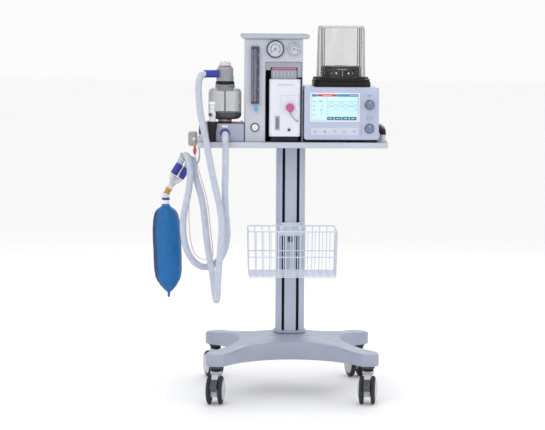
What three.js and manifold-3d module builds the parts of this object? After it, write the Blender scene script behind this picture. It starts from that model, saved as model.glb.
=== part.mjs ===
// A trolley-mounted veterinary anesthesia machine: a wheeled base and column carry a shelf with the gas
// tower, vaporizer, carbon dioxide absorber, ventilator and bellows. Two breathing hoses hang from a hook.
// Millimetres, +Z up, front towards -Y. Shapes are made round the column's axis, and the whole group is
// then moved so that its origin is under the middle of its box, without the hoses and what is on them.
import * as THREE from 'three';
import { mergeVertices } from 'three/addons/utils/BufferGeometryUtils.js';
import Module from 'manifold-3d';

const wasm = await Module();
wasm.setup();

// ---------- driving dimensions ----------

const GAP = 0.3; // between pieces that touch
const WALL = 3; // casing sheet

// The casters stand x and y from the base's middle.
const CASTER = { x: 269, y: 230, wheelR: 50, wheelW: 17, halfGap: 13, trail: 28, height: 130 };
const SWIVEL = { fl: -8, fr: -8, rl: -163, rr: -163 }; // degrees each caster is turned at rest

// y is the base's middle, in front of the column's axis. Its other plan sizes are from that middle.
const BASE = {
  y: -18, bottom: 133, top: 213, tipR: 38, tipTop: 178, midTop: 195, midX: 185, midY: 122,
  flatX: 60, flatY: 62, footH: 8, footEdge: 6,
};
const COLUMN = { halfX: 52.5, halfY: 35, cornerR: 24, bottom: 167, slotX: 26, slotW: 10, slotDepth: 8 };
const SHELF = { halfX: 338, halfY: 185, top: 918, height: 20, plate: 6, cornerR: 22 };
const HANDLE = { x: 322, front: -140, back: 70, top: 975, tubeR: 11 };

const VENT = { x0: 39, x1: 304, z0: 927, z1: 1113, y0: -175, y1: 75, cornerR: 12, footH: 9 };
const SCREEN = { x0: 64, x1: 231, z0: 996, z1: 1090, depth: 3 };
const VENT_KNOB = { x: 270, upperZ: 1052, lowerZ: 968, r: 19 };

const BELLOWS = { x: 176, y: -50, r: 74, rIn: 60, z0: 1142, z1: 1180, folds: 4, discH: 6 };
const BELLOWS_BASE = { half: 100, z0: 1113, z1: 1141, chamfer: 18 };
const DOME = { rBottom: 88, rTop: 84, top: 1330, wall: 3, cornerR: 9, flangeR: 95, flangeH: 7 };

const TOWER = { x0: -169, x1: 35, z1: 1281, y0: -150, y1: 60 };
const BAY = { x0: -98, x1: 31, z1: 1201, y1: 10 };
const TRAY = { x0: -184, x1: 58, z0: 1281, z1: 1297, y0: -165, y1: 72, wall: 3 };
const FLOW = { x: -134.5, halfW: 14.5, z0: 1053, z1: 1255, proud: 14, boreR: 5.5 };
const FLOAT = { r: 4.5, h: 12 };
const FLOW_KNOB = { x: -131, z: 1035, r: 10 };
const FLUSH = { x: -134, z: 969, r: 14.5 };
const GAUGE_LARGE = { x: -63.5, z: 1246, r: 31 };
const GAUGE_SMALL = { x: 3, z: 1247, r: 23 };
const VAPORIZER = { x0: -84, x1: 26, z0: 918, z1: 1140, y0: -168, y1: -30 };
const VAPORIZER_LID = { x0: -78, x1: 14, z1: 1180 };
const DIAL = { x: -11, z: 1041, r: 15, length: 26 };

const BLOCK = { x0: -310, x1: -170, z1: 984, y0: -149, y1: -40 };
const ABSORBER = { x: -240, y: -95, canisterR: 59, z0: 984, rim: 1020, shoulder: 1105, collar: 1120 };
const HEAD = { r: 30, z0: 1120, z1: 1183, knobR: 20.5, knobTop: 1200 };
const POPOFF = { x: -285, y: -167.5, z1: 1050, r: 17.5 };

const BASKET = {
  halfX: 158, front: -250, back: -55, z0: 445, zMid: 516, z1: 610, wire: 3.6, bays: 6, sideBays: 4,
};
const BRACKET = { halfX: 46, z0: 569, z1: 618, plate: 5 };
const BASKET_KNOB = { z: 556, r: 11, length: 12 };

const HOOK_BLOCK = { x0: -371, x1: -338.5, y0: -110, y1: -50, z0: 899, z1: 949, cornerR: 9 };
const HOOK_ROD_R = 3;

const HOSE_R = 12.4; // outside radius of the breathing hoses
const LINE_R = 1.5; // outside radius of the gas sampling line
const CUFF = { r: 13.9, length: 38 };
const UPPER_CUFF = { z: 1157, start: 31, length: 50, heading: [-0.862, -0.507] };
const LOWER_CUFF = { z: 948, length: 30 };
const Y_PIECE = { x: -424, y: -15, z: 764, tilt: 32, cuffAlong: 41, cuffAside: 14.2 };
const BAG = { x: -452, bottomX: -441, y: -15, neckZ: 679, bottomZ: 360, tailZ: 341, halfX: 53, halfY: 46 };

// Routes of the hoses and the line, from the machine to the Y-piece.
const HOSE_INSPIRATORY_ROUTE = [
  [-311.2, -136.9, 1157], [-317.2, -140.4, 1157], [-326, -145.5, 1152], [-332, -149, 1141],
  [-335, -152, 1120], [-334, -158, 1085],
  [-330, -170, 1040], [-323, -188, 995], [-312, -203, 950], [-303, -212, 905], [-293, -218, 850],
  [-280, -222, 786], [-263, -226, 715], [-252, -232, 655], [-251, -240, 600], [-256, -247, 545],
  [-261, -253, 480], [-265, -252, 410], [-267, -234, 368], [-270, -204, 354], [-274, -172, 370],
  [-279, -148, 412], [-286, -138, 460], [-297, -136, 520], [-306, -136, 590], [-312, -136, 650],
  [-320, -134, 705], [-334, -128, 757], [-347, -120, 797], [-351, -112, 824], [-352, -98, 843],
  [-355, -80, 851], [-360, -58, 850], [-366, -38, 843], [-370.5, -23, 830], [-375, -16, 816.5],
  [-379, -15, 810],
];
const HOSE_EXPIRATORY_ROUTE = [
  [-240, -180, 948], [-240, -187, 948], [-240, -199, 943], [-240, -207, 931], [-239, -210, 915],
  [-238, -208, 870],
  [-239, -203, 800], [-240, -197, 730], [-235, -191, 650], [-231, -183, 600], [-235, -168, 553],
  [-249, -143, 510], [-275, -112, 474], [-308, -96, 459], [-338, -96, 468], [-362, -103, 498],
  [-380, -113, 540], [-388, -122, 590], [-388, -131, 640], [-379, -140, 690], [-368, -147, 740],
  [-363, -148, 790], [-363, -142, 822], [-366, -126, 847], [-371, -103, 861], [-378, -78, 865],
  [-387, -52, 860], [-394, -32, 851], [-397.5, -19, 838.5], [-400.3, -15.5, 830], [-403, -15, 825],
];
const SAMPLING_ROUTE = [
  [-349, -111, 924], [-349, -118, 923], [-349, -123, 914], [-348, -124, 900], [-347, -124, 876],
  [-341, -124, 848],
  [-332, -120, 812], [-318, -118, 762], [-303, -120, 705], [-295, -122, 645], [-289, -122, 590],
  [-283, -120, 540], [-282, -110, 508], [-293, -99, 493], [-312, -96, 490], [-332, -96, 497],
  [-349, -94, 516], [-360, -91, 550], [-366, -88, 600], [-368, -86, 650], [-366, -84, 705],
  [-361, -80, 760], [-359, -72, 800], [-366, -56, 821], [-378, -44, 828], [-391, -38, 815],
  [-401, -35, 797], [-407.5, -33, 783],
];

// ---------- making and joining solids ----------

const machine = new THREE.Group();
const circuit = new THREE.Group(); // the hoses, the line and what is on them

function add(name, geometry, material, group = machine) {
  const mesh = new THREE.Mesh(geometry, material);
  mesh.name = name;
  group.add(mesh);
  return mesh;
}

function paint(color, roughness, metalness = 0) {
  return new THREE.MeshStandardMaterial({ color, roughness, metalness });
}

function solid(geometry) {
  const bare = geometry.clone();
  bare.deleteAttribute('normal');
  bare.deleteAttribute('uv');
  const merged = mergeVertices(bare, 1e-3);
  const triVerts = new Uint32Array(merged.index.array);
  const vertProperties = merged.attributes.position.array;
  return new wasm.Manifold(new wasm.Mesh({ numProp: 3, vertProperties, triVerts }));
}

function geometryOf(manifold) {
  const { vertProperties, triVerts } = manifold.getMesh();
  const geometry = new THREE.BufferGeometry();
  geometry.setAttribute('position', new THREE.BufferAttribute(vertProperties, 3));
  geometry.setIndex(new THREE.BufferAttribute(triVerts, 1));
  geometry.computeVertexNormals();
  return geometry;
}

function joined(first, ...rest) {
  return geometryOf(rest.reduce((sum, piece) => sum.add(solid(piece)), solid(first)));
}

function cut(body, ...tools) {
  return geometryOf(tools.reduce((left, tool) => left.subtract(solid(tool)), solid(body)));
}

function block(x0, x1, y0, y1, z0, z1) {
  const geometry = new THREE.BoxGeometry(x1 - x0, y1 - y0, z1 - z0);
  return geometry.translate((x0 + x1) / 2, (y0 + y1) / 2, (z0 + z1) / 2);
}

// A profile of [radius, height] pairs turned about Z, listed from the bottom, outside first.
function turned(profile, segments = 24) {
  const points = profile.map(([r, z]) => new THREE.Vector2(r, z));
  return new THREE.LatheGeometry(points, segments).rotateX(Math.PI / 2);
}

function rod(r, z0, z1, segments = 20) {
  return turned([[0, z0], [r, z0], [r, z1], [0, z1]], segments);
}

// Turns a piece made along +Z so that it stands out of a front panel, towards -Y.
function onFront(geometry, x, y, z) {
  return geometry.rotateX(Math.PI / 2).translate(x, y, z);
}

function polygon(points) {
  return new THREE.Shape(points.map(([x, y]) => new THREE.Vector2(x, y)));
}

function roundedRect(x0, x1, y0, y1, r) {
  const shape = new THREE.Shape();
  shape.absarc(x1 - r, y0 + r, r, -Math.PI / 2, 0);
  shape.absarc(x1 - r, y1 - r, r, 0, Math.PI / 2);
  shape.absarc(x0 + r, y1 - r, r, Math.PI / 2, Math.PI);
  shape.absarc(x0 + r, y0 + r, r, Math.PI, 1.5 * Math.PI);
  return shape;
}

function upright(shape, z0, z1, curveSegments = 2) {
  const options = { depth: z1 - z0, bevelEnabled: false, curveSegments };
  return new THREE.ExtrudeGeometry(shape, options).translate(0, 0, z0);
}

// The outline is in X and Z, and the piece runs from y0 back to y1.
function alongY(shape, y0, y1, curveSegments = 3) {
  const options = { depth: y1 - y0, bevelEnabled: false, curveSegments };
  return new THREE.ExtrudeGeometry(shape, options).rotateX(Math.PI / 2).translate(0, y1, 0);
}

// The outline is in Y and Z, and the piece runs from x0 to x1.
function alongX(shape, x0, x1, curveSegments = 3) {
  const options = { depth: x1 - x0, bevelEnabled: false, curveSegments };
  const geometry = new THREE.ExtrudeGeometry(shape, options);
  return geometry.rotateX(Math.PI / 2).rotateZ(Math.PI / 2).translate(x0, 0, 0);
}

function tube(route, r, sides, steps) {
  const extrudePath = new THREE.CatmullRomCurve3(route.map((p) => new THREE.Vector3(...p)));
  extrudePath.curveType = 'centripetal';
  const section = new THREE.Shape().absarc(0, 0, r, 0, 2 * Math.PI);
  return new THREE.ExtrudeGeometry(section, { steps, extrudePath, curveSegments: sides / 2 });
}

// ---------- base and column ----------

// Plan of the base cover: round tips over the casters, joined by hollow arcs that touch them.
function butterfly(inset) {
  const r = BASE.tipR - inset;
  const arcR = (along, across, mid) =>
    (along ** 2 + (mid - across) ** 2 - r ** 2) / (2 * (r + across - mid));
  const frontR = arcR(CASTER.x, CASTER.y, BASE.midY - inset);
  const sideR = arcR(CASTER.y, CASTER.x, BASE.midX - inset);
  const frontY = BASE.midY - inset + frontR;
  const sideX = BASE.midX - inset + sideR;
  const frontAngle = Math.atan2(frontY - CASTER.y, CASTER.x);
  const sideAngle = Math.atan2(-CASTER.y, CASTER.x - sideX);
  const shape = new THREE.Shape();
  for (const turn of [0, Math.PI]) {
    const sign = Math.cos(turn);
    const half = Math.PI + turn;
    shape.absarc(0, -sign * frontY, frontR, half - frontAngle, frontAngle + turn, true);
    shape.absarc(sign * CASTER.x, -sign * CASTER.y, r, frontAngle + half, sideAngle + half, false);
    shape.absarc(sign * sideX, 0, sideR, sideAngle + turn, turn - sideAngle, true);
    shape.absarc(sign * CASTER.x, sign * CASTER.y, r, half - sideAngle, half - frontAngle, false);
  }
  return shape;
}

// The cover's outer form: its plan under two roofs that cross, pulled in all round by inset.
function coverForm(inset) {
  const reach = 400; // past the tips
  const low = BASE.bottom - 2 * inset;
  const [top, mid, tip] = [BASE.top, BASE.midTop, BASE.tipTop].map((z) => z - inset);
  const roof = (steps) => {
    const right = [[reach, low], [reach, tip], ...steps];
    return polygon([...right, ...right.map(([x, z]) => [-x, z]).reverse()]);
  };
  const acrossX = roof([[CASTER.x, tip], [BASE.flatX, top]]);
  const acrossY = roof([[CASTER.y, tip], [BASE.midY, mid], [BASE.flatY, top]]);
  return solid(upright(butterfly(inset), low, BASE.top, 5))
    .intersect(solid(alongY(acrossX, -reach, reach)))
    .intersect(solid(alongX(acrossY, -reach, reach)));
}

function makeBase() {
  const { halfX, halfY, bottom } = COLUMN;
  const shell = coverForm(0).subtract(coverForm(WALL + 1)).translate(0, BASE.y, 0);
  const hole = block(-halfX - 1, halfX + 1, -halfY - 1, halfY + 1, bottom - 1, BASE.top + 1);
  add('base_cover', cut(geometryOf(shell), hole), paint(0xa8acbe, 0.45));

  const barTop = bottom - 4;
  const barHalf = 12;
  const padR = 24;
  const length = Math.hypot(CASTER.x, CASTER.y);
  const angle = Math.atan2(CASTER.y, CASTER.x);
  const bars = [angle, -angle].map((turn) =>
    block(-length, length, -barHalf, barHalf, BASE.bottom + 2, barTop).rotateZ(turn));
  const pads = [];
  for (const x of [-CASTER.x, CASTER.x]) {
    for (const y of [-CASTER.y, CASTER.y]) {
      pads.push(rod(padR, CASTER.height - 7, barTop, 16).translate(x, y, 0));
    }
  }
  const legs = [...bars, ...pads].map((piece) => piece.translate(0, BASE.y, 0));
  const rim = 15; // of the hub round the column
  const hub = block(-halfX - rim, halfX + rim, -halfY - rim, halfY + rim, BASE.bottom + 2, bottom);
  add('base_frame', joined(hub, ...legs), paint(0x3a3d44, 0.5, 0.6));
}

function makeColumn() {
  const { halfX, halfY, cornerR, slotX, slotW, slotDepth } = COLUMN;
  const top = SHELF.top - SHELF.plate;
  const outside = upright(roundedRect(-halfX, halfX, -halfY, halfY, cornerR), COLUMN.bottom, top, 3);
  const cores = [[-15, 15], [36, 47], [-47, -36]].map(([x0, x1]) =>
    block(x0, x1, -20, 20, COLUMN.bottom - 1, top + 1));
  const slots = [];
  for (const x of [-slotX, slotX]) {
    for (const side of [-1, 1]) {
      const [near, far] = [halfY - slotDepth, halfY + 1].map((y) => side * y);
      const [y0, y1] = [Math.min(near, far), Math.max(near, far)];
      slots.push(block(x - slotW / 2, x + slotW / 2, y0, y1, COLUMN.bottom - 1, top + 1));
    }
  }
  add('column', cut(outside, ...cores, ...slots), paint(0xb2b6c8, 0.4, 0.3));

  const outline = (grow, r) => roundedRect(-halfX - grow, halfX + grow, -halfY - grow, halfY + grow, r);
  const footTop = BASE.top + BASE.footH;
  const ring = upright(outline(BASE.footEdge, cornerR + 4), BASE.top, footTop);
  const opening = upright(outline(GAP, cornerR), BASE.top - 1, footTop + 1, 3);
  add('column_foot', cut(ring, opening), paint(0x8f9dc0, 0.4));
}

// ---------- casters ----------

function casterFork() {
  const { wheelR, trail, height, halfGap } = CASTER;
  const web = new THREE.Shape();
  web.moveTo(26, height - 18);
  web.lineTo(-46, height - 18);
  web.absarc(-trail, wheelR, 16, Math.PI, 2 * Math.PI);
  web.lineTo(26, height - 26);
  const saddle = roundedRect(-32, 32, -46, 26, 14);
  const neck = rod(20, height - 20, height - 7 - GAP, 18);
  const bore = rod(6 + GAP, -40, 40, 12).rotateY(Math.PI / 2).translate(0, -trail, wheelR);
  const body = joined(
    alongX(web, GAP * 2 - halfGap, halfGap - GAP * 2),
    upright(saddle, height - 27, height - 18, 2),
    neck,
  );
  return cut(body, bore);
}

function casterWheels() {
  const { wheelR, wheelW, halfGap, trail } = CASTER;
  const out = halfGap + wheelW;
  const side = [[26, out + 1], [44, out - 1], [wheelR, out - 5], [wheelR, halfGap + 4], [45, halfGap]];
  const upper = [[6, halfGap], ...[...side].reverse(), [0, out + 2]];
  const lower = upper.map(([r, z]) => [r, -z]).reverse();
  return turned([...lower, ...upper], 20).rotateY(Math.PI / 2).translate(0, -trail, wheelR);
}

function brakePedal() {
  const outline = polygon([[-50, 79], [-60, 75], [-92, 66], [-95, 72], [-60, 92], [-50, 90]]);
  const pedalHalf = 12;
  return alongX(outline, -pedalHalf, pedalHalf);
}

function makeCaster(corner, x, y) {
  const caster = new THREE.Group();
  caster.position.set(x, y, 0);
  caster.rotation.z = THREE.MathUtils.degToRad(SWIVEL[corner]);
  add(`caster_${corner}_fork`, casterFork(), paint(0xc3c6cc, 0.45), caster);
  add(`caster_${corner}_wheels`, casterWheels(), paint(0x55565c, 0.6), caster);
  if (corner[0] === 'f') {
    add(`caster_${corner}_pedal`, brakePedal(), paint(0x44454b, 0.55), caster);
  }
  machine.add(caster);
}

function makeCasters() {
  const [front, rear] = [BASE.y - CASTER.y, BASE.y + CASTER.y];
  makeCaster('fl', -CASTER.x, front);
  makeCaster('fr', CASTER.x, front);
  makeCaster('rl', -CASTER.x, rear);
  makeCaster('rr', CASTER.x, rear);
}

// ---------- shelf, handles, hook ----------

function makeShelf() {
  const { halfX, halfY, top, height, plate, cornerR } = SHELF;
  const outline = (inset) =>
    roundedRect(inset - halfX, halfX - inset, inset - halfY, halfY - inset, cornerR - inset);
  const body = upright(outline(0), top - height, top, 3);
  const hollow = upright(outline(WALL), top - height - 1, top - plate, 3);
  add('shelf', cut(body, hollow), paint(0xb6bac8, 0.35, 0.2));
}

function makeHandle(name, x) {
  const middle = (HANDLE.front + HANDLE.back) / 2;
  const reach = (HANDLE.back - HANDLE.front) / 2;
  const foot = SHELF.top + 0.5;
  const route = [[x, HANDLE.front, foot], [x, HANDLE.front, foot + 8]];
  const bends = 9;
  for (let i = 1; i < bends; i += 1) {
    const turn = (Math.PI * i) / bends;
    const along = Math.sign(Math.cos(turn)) * Math.abs(Math.cos(turn)) ** 0.55;
    const rise = Math.sin(turn) ** 0.55;
    route.push([x, middle - reach * along, foot + 8 + (HANDLE.top - HANDLE.tubeR - foot - 8) * rise]);
  }
  route.push([x, HANDLE.back, foot + 8], [x, HANDLE.back, foot]);
  add(name, tube(route, HANDLE.tubeR, 10, 18), paint(0x1b1c20, 0.5));
}

function makeHook() {
  const { x0, x1, y0, y1, z0, z1, cornerR } = HOOK_BLOCK;
  add('hook_block', alongY(roundedRect(x0, x1, z0, z1, cornerR), y0, y1), paint(0xbebcb4, 0.5));
  const route = [
    [-331, -85, 897.5], [-331, -85, 880], [-331, -85, 856], [-335, -85, 840], [-346, -84, 830],
    [-358, -84, 831.5], [-372, -84, 839], [-386, -86, 847], [-395, -87, 858], [-396, -88, 876],
  ];
  add('hose_hook', tube(route, HOOK_ROD_R, 8, 18), paint(0x9a9ca2, 0.3, 0.9));
}

// ---------- ventilator and bellows ----------

function makeVentilator() {
  const { x0, x1, y0, y1, z0, z1, cornerR, footH } = VENT;
  const rim = 30; // left round the opening underneath
  const front = 2 * WALL;
  const feet = [];
  for (const x of [x0 + rim / 2, x1 - rim / 2]) {
    for (const y of [y0 + rim / 2, y1 - rim / 2]) {
      feet.push(rod(11, z0 - footH, z0 + 1, 14).translate(x, y, 0));
    }
  }
  const shell = joined(alongY(roundedRect(x0, x1, z0, z1, cornerR), y0, y1), ...feet);
  const inside = block(x0 + WALL, x1 - WALL, y0 + front, y1 - WALL, z0 + WALL, z1 - WALL);
  const opening = block(x0 + rim, x1 - rim, y0 + rim, y1 - rim, z0 - 1, z0 + WALL + 1);
  const recess = block(SCREEN.x0, SCREEN.x1, y0 - 1, y0 + SCREEN.depth, SCREEN.z0, SCREEN.z1);
  add('vent_case', cut(shell, inside, opening, recess), paint(0xc4c9de, 0.4));

  const [sx0, sx1, sz0, sz1] = [SCREEN.x0 + GAP, SCREEN.x1 - GAP, SCREEN.z0 + GAP, SCREEN.z1 - GAP];
  const screen = block(sx0, sx1, y0 + GAP, y0 + SCREEN.depth - GAP, sz0, sz1);
  add('vent_screen', screen, paint(0xc9dfe8, 0.15));

  for (const [name, z, length] of [['upper', VENT_KNOB.upperZ, 24], ['lower', VENT_KNOB.lowerZ, 17]]) {
    const { r } = VENT_KNOB;
    const end = [[r - 3.5, length - 2], [r - 6, length], [0, length]];
    const profile = [[0, GAP], [r, GAP], [r, 4], [r - 2.5, 6], ...end];
    add(`vent_knob_${name}`, onFront(turned(profile, 20), VENT_KNOB.x, y0, z), paint(0x6d7c92, 0.45));
  }
}

function makeBellows() {
  const { x, y, r, rIn, z0, z1, folds, discH } = BELLOWS;
  const { half, chamfer, z0: baseZ0, z1: baseZ1 } = BELLOWS_BASE;
  const near = half - chamfer;
  const quarter = [[half, -near], [half, near], [near, half], [-near, half]];
  const plan = polygon([...quarter, ...quarter.map(([a, b]) => [-a, -b])]);
  add('bellows_base', upright(plan, baseZ0, baseZ1).translate(x, y, 0), paint(0x17181b, 0.4));

  const step = (z1 - z0) / folds;
  const profile = [[0, z0]];
  for (let i = 0; i < folds; i += 1) profile.push([r, z0 + i * step + 1], [rIn, z0 + (i + 0.5) * step]);
  profile.push([r, z1 - 1], [0, z1]);
  add('bellows', turned(profile, 20).translate(x, y, 0), paint(0x1d1e21, 0.6));
  add('bellows_disc', rod(r - 4, z1 + GAP, z1 + discH, 24).translate(x, y, 0), paint(0x26272b, 0.5));

  const bottom = baseZ1 + GAP;
  const { rBottom, rTop, top, wall, cornerR, flangeR, flangeH } = DOME;
  const dome = [
    [0, top - wall], [rTop - cornerR, top - wall], [rTop - wall, top - cornerR], [rBottom - wall, bottom],
    [flangeR, bottom], [flangeR, bottom + flangeH], [rBottom, bottom + flangeH + 1],
    [rTop, top - cornerR], [rTop - 3, top - 3], [rTop - cornerR, top], [0, top],
  ];
  add('bellows_dome', turned(dome, 24).translate(x, y, 0), paint(0xe4e8ea, 0.08));
}

// ---------- gas tower, gauges, flowmeter, vaporizer ----------

function makeTower() {
  const { x0, x1, z1, y0, y1 } = TOWER;
  const base = SHELF.top;
  const low = base - 1;
  const shell = upright(roundedRect(x0, x1, y0, y1, 7), base, z1);
  const [ix0, ix1, iy0, iy1, iz1] = [x0 + WALL, x1 - WALL, y0 + WALL, y1 - WALL, z1 - WALL];
  const bay = block(BAY.x0, BAY.x1, y0 - 1, BAY.y1, low, BAY.z1);
  const left = block(ix0, BAY.x0 - WALL, iy0, iy1, low, iz1);
  const rear = block(ix0, ix1, BAY.y1 + WALL, iy1, low, iz1);
  const above = block(ix0, ix1, iy0, iy1, BAY.z1 + WALL, iz1);
  const flushHole = onFront(rod(FLUSH.r - 2.8, -5, 5), FLUSH.x, y0, FLUSH.z);
  add('tower_housing', cut(shell, bay, left, rear, above, flushHole), paint(0xd0d2e0, 0.4));

  const { x0: tx0, x1: tx1, y0: ty0, y1: ty1, z0: tz0, z1: tz1, wall } = TRAY;
  const pan = upright(roundedRect(tx0, tx1, ty0, ty1, 9), tz0, tz1);
  const well = upright(roundedRect(tx0 + wall, tx1 - wall, ty0 + wall, ty1 - wall, 7), tz0 + wall, tz1 + 1);
  add('tower_tray', cut(pan, well), paint(0xc9ccda, 0.4));
}

function makeFlowmeter() {
  const front = TOWER.y0;
  const { x, halfW, z0, z1, proud, boreR } = FLOW;
  const middle = front - proud / 2 - GAP;
  const column = block(x - halfW, x + halfW, front - proud - GAP, front - GAP, z0, z1);
  const bore = rod(boreR, z0 + 4, z1 + 1, 16).translate(x, middle, 0);
  add('flowmeter', cut(column, bore), paint(0x59627c, 0.2));
  const float = rod(FLOAT.r, z0 + 4 + GAP, z0 + 4 + FLOAT.h, 12).translate(x, middle, 0);
  add('flow_float', float, paint(0xd8532f, 0.4));

  const { r } = FLOW_KNOB;
  const knob = [[0, GAP], [r, GAP], [r, 14], [r - 2, 16], [r - 2, 22], [r - 4, 24], [0, 24]];
  add('flow_knob', onFront(turned(knob, 18), FLOW_KNOB.x, front, FLOW_KNOB.z), paint(0x4fa9cf, 0.4));
  const button = turned([[0, -2], [FLUSH.r - 3.2, -2], [FLUSH.r - 3.2, 8], [FLUSH.r - 5, 10], [0, 10]], 18);
  add('flush_button', onFront(button, FLUSH.x, front, FLUSH.z), paint(0xe8e9ec, 0.35));
}

function makeGauge(size, { x, z, r }) {
  const front = TOWER.y0;
  const faceH = 6;
  const rimH = 11;
  const rim = [[r, GAP], [r, rimH - 2], [r - 1.5, rimH], [r - 3.5, rimH], [r - 3.5, faceH]];
  const profile = [[0, GAP], ...rim, [0, faceH]];
  add(`gauge_${size}`, onFront(turned(profile, 24), x, front, z), paint(0xe6e7ea, 0.35));

  // The pointer balances on its hub: a long thin arm, and a short wide tail.
  const arm = r * 0.68;
  const tail = r * 0.3;
  const pointer = polygon([[-1.4, 0], [-2.2, -tail], [2.2, -tail], [1.4, 0], [0.5, arm], [-0.5, arm]]);
  const hub = rod(r * 0.13, faceH + GAP, faceH + 2.6, 12);
  const needle = joined(hub, upright(pointer, faceH + 0.8, faceH + 2));
  needle.rotateZ(THREE.MathUtils.degToRad(135));
  add(`needle_${size}`, onFront(needle, x, front, z), paint(0xc2353c, 0.4));
}

function makeVaporizer() {
  const { x0, x1, y0, y1, z0, z1 } = VAPORIZER;
  const plinthTop = z0 + 20;
  const tuck = 5; // the plinth stands in from the body
  const body = joined(
    upright(roundedRect(x0, x1, y0, y1, 10), plinthTop, z1),
    upright(roundedRect(x0 + tuck, x1 - tuck, y0 + tuck, y1 - tuck, 8), z0, plinthTop + 1),
  );
  const thick = 14;
  const hollow = block(x0 + thick, x1 - thick, y0 + thick, y1 - thick, z0 - 1, z1 - thick);
  add('vaporizer_body', cut(body, hollow), paint(0xeceef2, 0.35));

  const lid = VAPORIZER_LID;
  const lidPlan = roundedRect(lid.x0, lid.x1, y0 + 16, y1 - 6, 8);
  add('vaporizer_lid', upright(lidPlan, z1 + GAP, lid.z1), paint(0xa9aab4, 0.3));

  const { r, length } = DIAL;
  const dial = [[0, GAP], [r, GAP], [r, length - 5], [r - 2, length - 2], [r - 5, length], [0, length]];
  add('vaporizer_dial', onFront(turned(dial, 20), DIAL.x, y0, DIAL.z), paint(0xc05a96, 0.4));
}

// ---------- carbon dioxide absorber and valves ----------

function makeAbsorber() {
  const { x, y, canisterR: r, z0, rim, shoulder, collar } = ABSORBER;
  const body = upright(roundedRect(BLOCK.x0, BLOCK.x1, BLOCK.y0, BLOCK.y1, 10), SHELF.top, BLOCK.z1);
  add('circuit_block', body, paint(0xa4a8ba, 0.4, 0.4));

  const wall = 3.5;
  const floor = rim - 12;
  const neck = HEAD.r + 2;
  const canister = [
    [0, z0 + GAP], [23, z0 + GAP], [23, z0 + 11], [r - 9, z0 + 12], [r, rim - 14], [r, shoulder - 8],
    [r - 8, shoulder], [neck + 1, shoulder + 3], [neck + 1, collar - GAP], [neck - 3, collar - GAP],
    [neck - 3, shoulder - 1], [r - 10, shoulder - wall], [r - wall, shoulder - 10], [r - wall, floor],
    [0, floor],
  ];
  add('absorber_canister', turned(canister, 24).translate(x, y, 0), paint(0xd8dcde, 0.1));

  const { r: headR, z0: headZ0, z1, knobR, knobTop } = HEAD;
  const head = [
    [0, headZ0], [headR + 4, headZ0], [headR + 4, headZ0 + 8], [headR, headZ0 + 10],
    [headR - 2, z1 - 3], [headR - 5, z1], [0, z1],
  ];
  add('absorber_head', turned(head, 24).translate(x, y, 0), paint(0x8c9096, 0.3));
  const knob = [
    [0, z1 + GAP], [knobR, z1 + GAP], [knobR - 1, knobTop - 3], [knobR - 4, knobTop], [0, knobTop],
  ];
  add('absorber_knob', turned(knob, 20).translate(x, y, 0), paint(0xd9dadd, 0.3));
}

function makePopoff() {
  const { x, y, z1, r } = POPOFF;
  const z0 = SHELF.top;
  const seat = z0 + 72; // top of the black cone
  const valve = [
    [0, z0], [12.5, z0], [12.5, z0 + 27], [r, seat - 15], [r, seat], [11, seat + 2], [11, seat + 24],
    [8, seat + 32], [8, z1], [0, z1],
  ];
  add('popoff_valve', turned(valve, 20).translate(x, y, 0), paint(0x222327, 0.45));
  const knob = [[0, z1 + GAP], [11, z1 + GAP], [11, z1 + 7], [9, z1 + 10], [0, z1 + 10]];
  add('popoff_knob', turned(knob, 20).translate(x, y, 0), paint(0xf0f0f2, 0.4));
}

// ---------- basket ----------

// The wires of a flat panel, columns bays wide, with a rail at each height in rails.
function panelWires(x0, x1, rails, columns) {
  const { wire } = BASKET;
  const [low, high] = [rails[0], rails.at(-1)];
  const pitch = (x1 - x0 - wire) / columns;
  const wires = rails.map((y) => Math.min(y, high - wire)).map((y) => block(x0, x1, y, y + wire, 0, wire));
  for (let i = 0; i <= columns; i += 1) {
    const left = x0 + i * pitch;
    wires.push(block(left, left + wire, low, high, 0, wire));
  }
  return wires;
}

function makeBasket() {
  const { halfX, front, back, z0, zMid, z1, wire, bays, sideBays } = BASKET;
  const coat = paint(0xc9cfdd, 0.35);
  const heights = [z0, zMid, z1];
  const wide = (y1) => panelWires(-halfX, halfX, heights, bays)
    .map((bar) => bar.rotateX(Math.PI / 2).translate(0, y1, 0));
  add('basket_front', joined(...wide(front + wire)), coat);

  const { halfX: plateX, z0: plateZ0, z1: plateZ1, plate } = BRACKET;
  const plateBack = -COLUMN.halfY - 1;
  const armX = plateX - 8;
  const arms = [-armX, armX].map((x) =>
    block(x - 4, x + 4, back - wire / 2, plateBack - plate / 2, z1 - 2 * wire, z1 + wire));
  const mounting = block(-plateX, plateX, plateBack - plate, plateBack, plateZ0, plateZ1);
  add('basket_back', joined(...wide(back), mounting, ...arms), coat);

  const [y0, y1] = [front + wire + GAP, back - wire - GAP];
  const side = (x) => panelWires(y0, y1, heights, sideBays)
    .map((bar) => bar.rotateX(Math.PI / 2).rotateZ(Math.PI / 2).translate(x, 0, 0));
  add('basket_left', joined(...side(-halfX)), coat);
  add('basket_right', joined(...side(halfX - wire)), coat);
  const inX = halfX - wire - GAP;
  const floor = panelWires(-inX, inX, [y0, (y0 + y1) / 2, y1], bays).map((bar) => bar.translate(0, 0, z0));
  add('basket_floor', joined(...floor), coat);

  const { z, r, length } = BASKET_KNOB;
  const knob = turned([[0, 0], [r, 0], [r, length - 2], [r - 2, length], [0, length]], 16);
  add('basket_knob', onFront(knob, 0, plateBack, z), paint(0x2c4a40, 0.5));
}

// ---------- breathing circuit ----------

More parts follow.
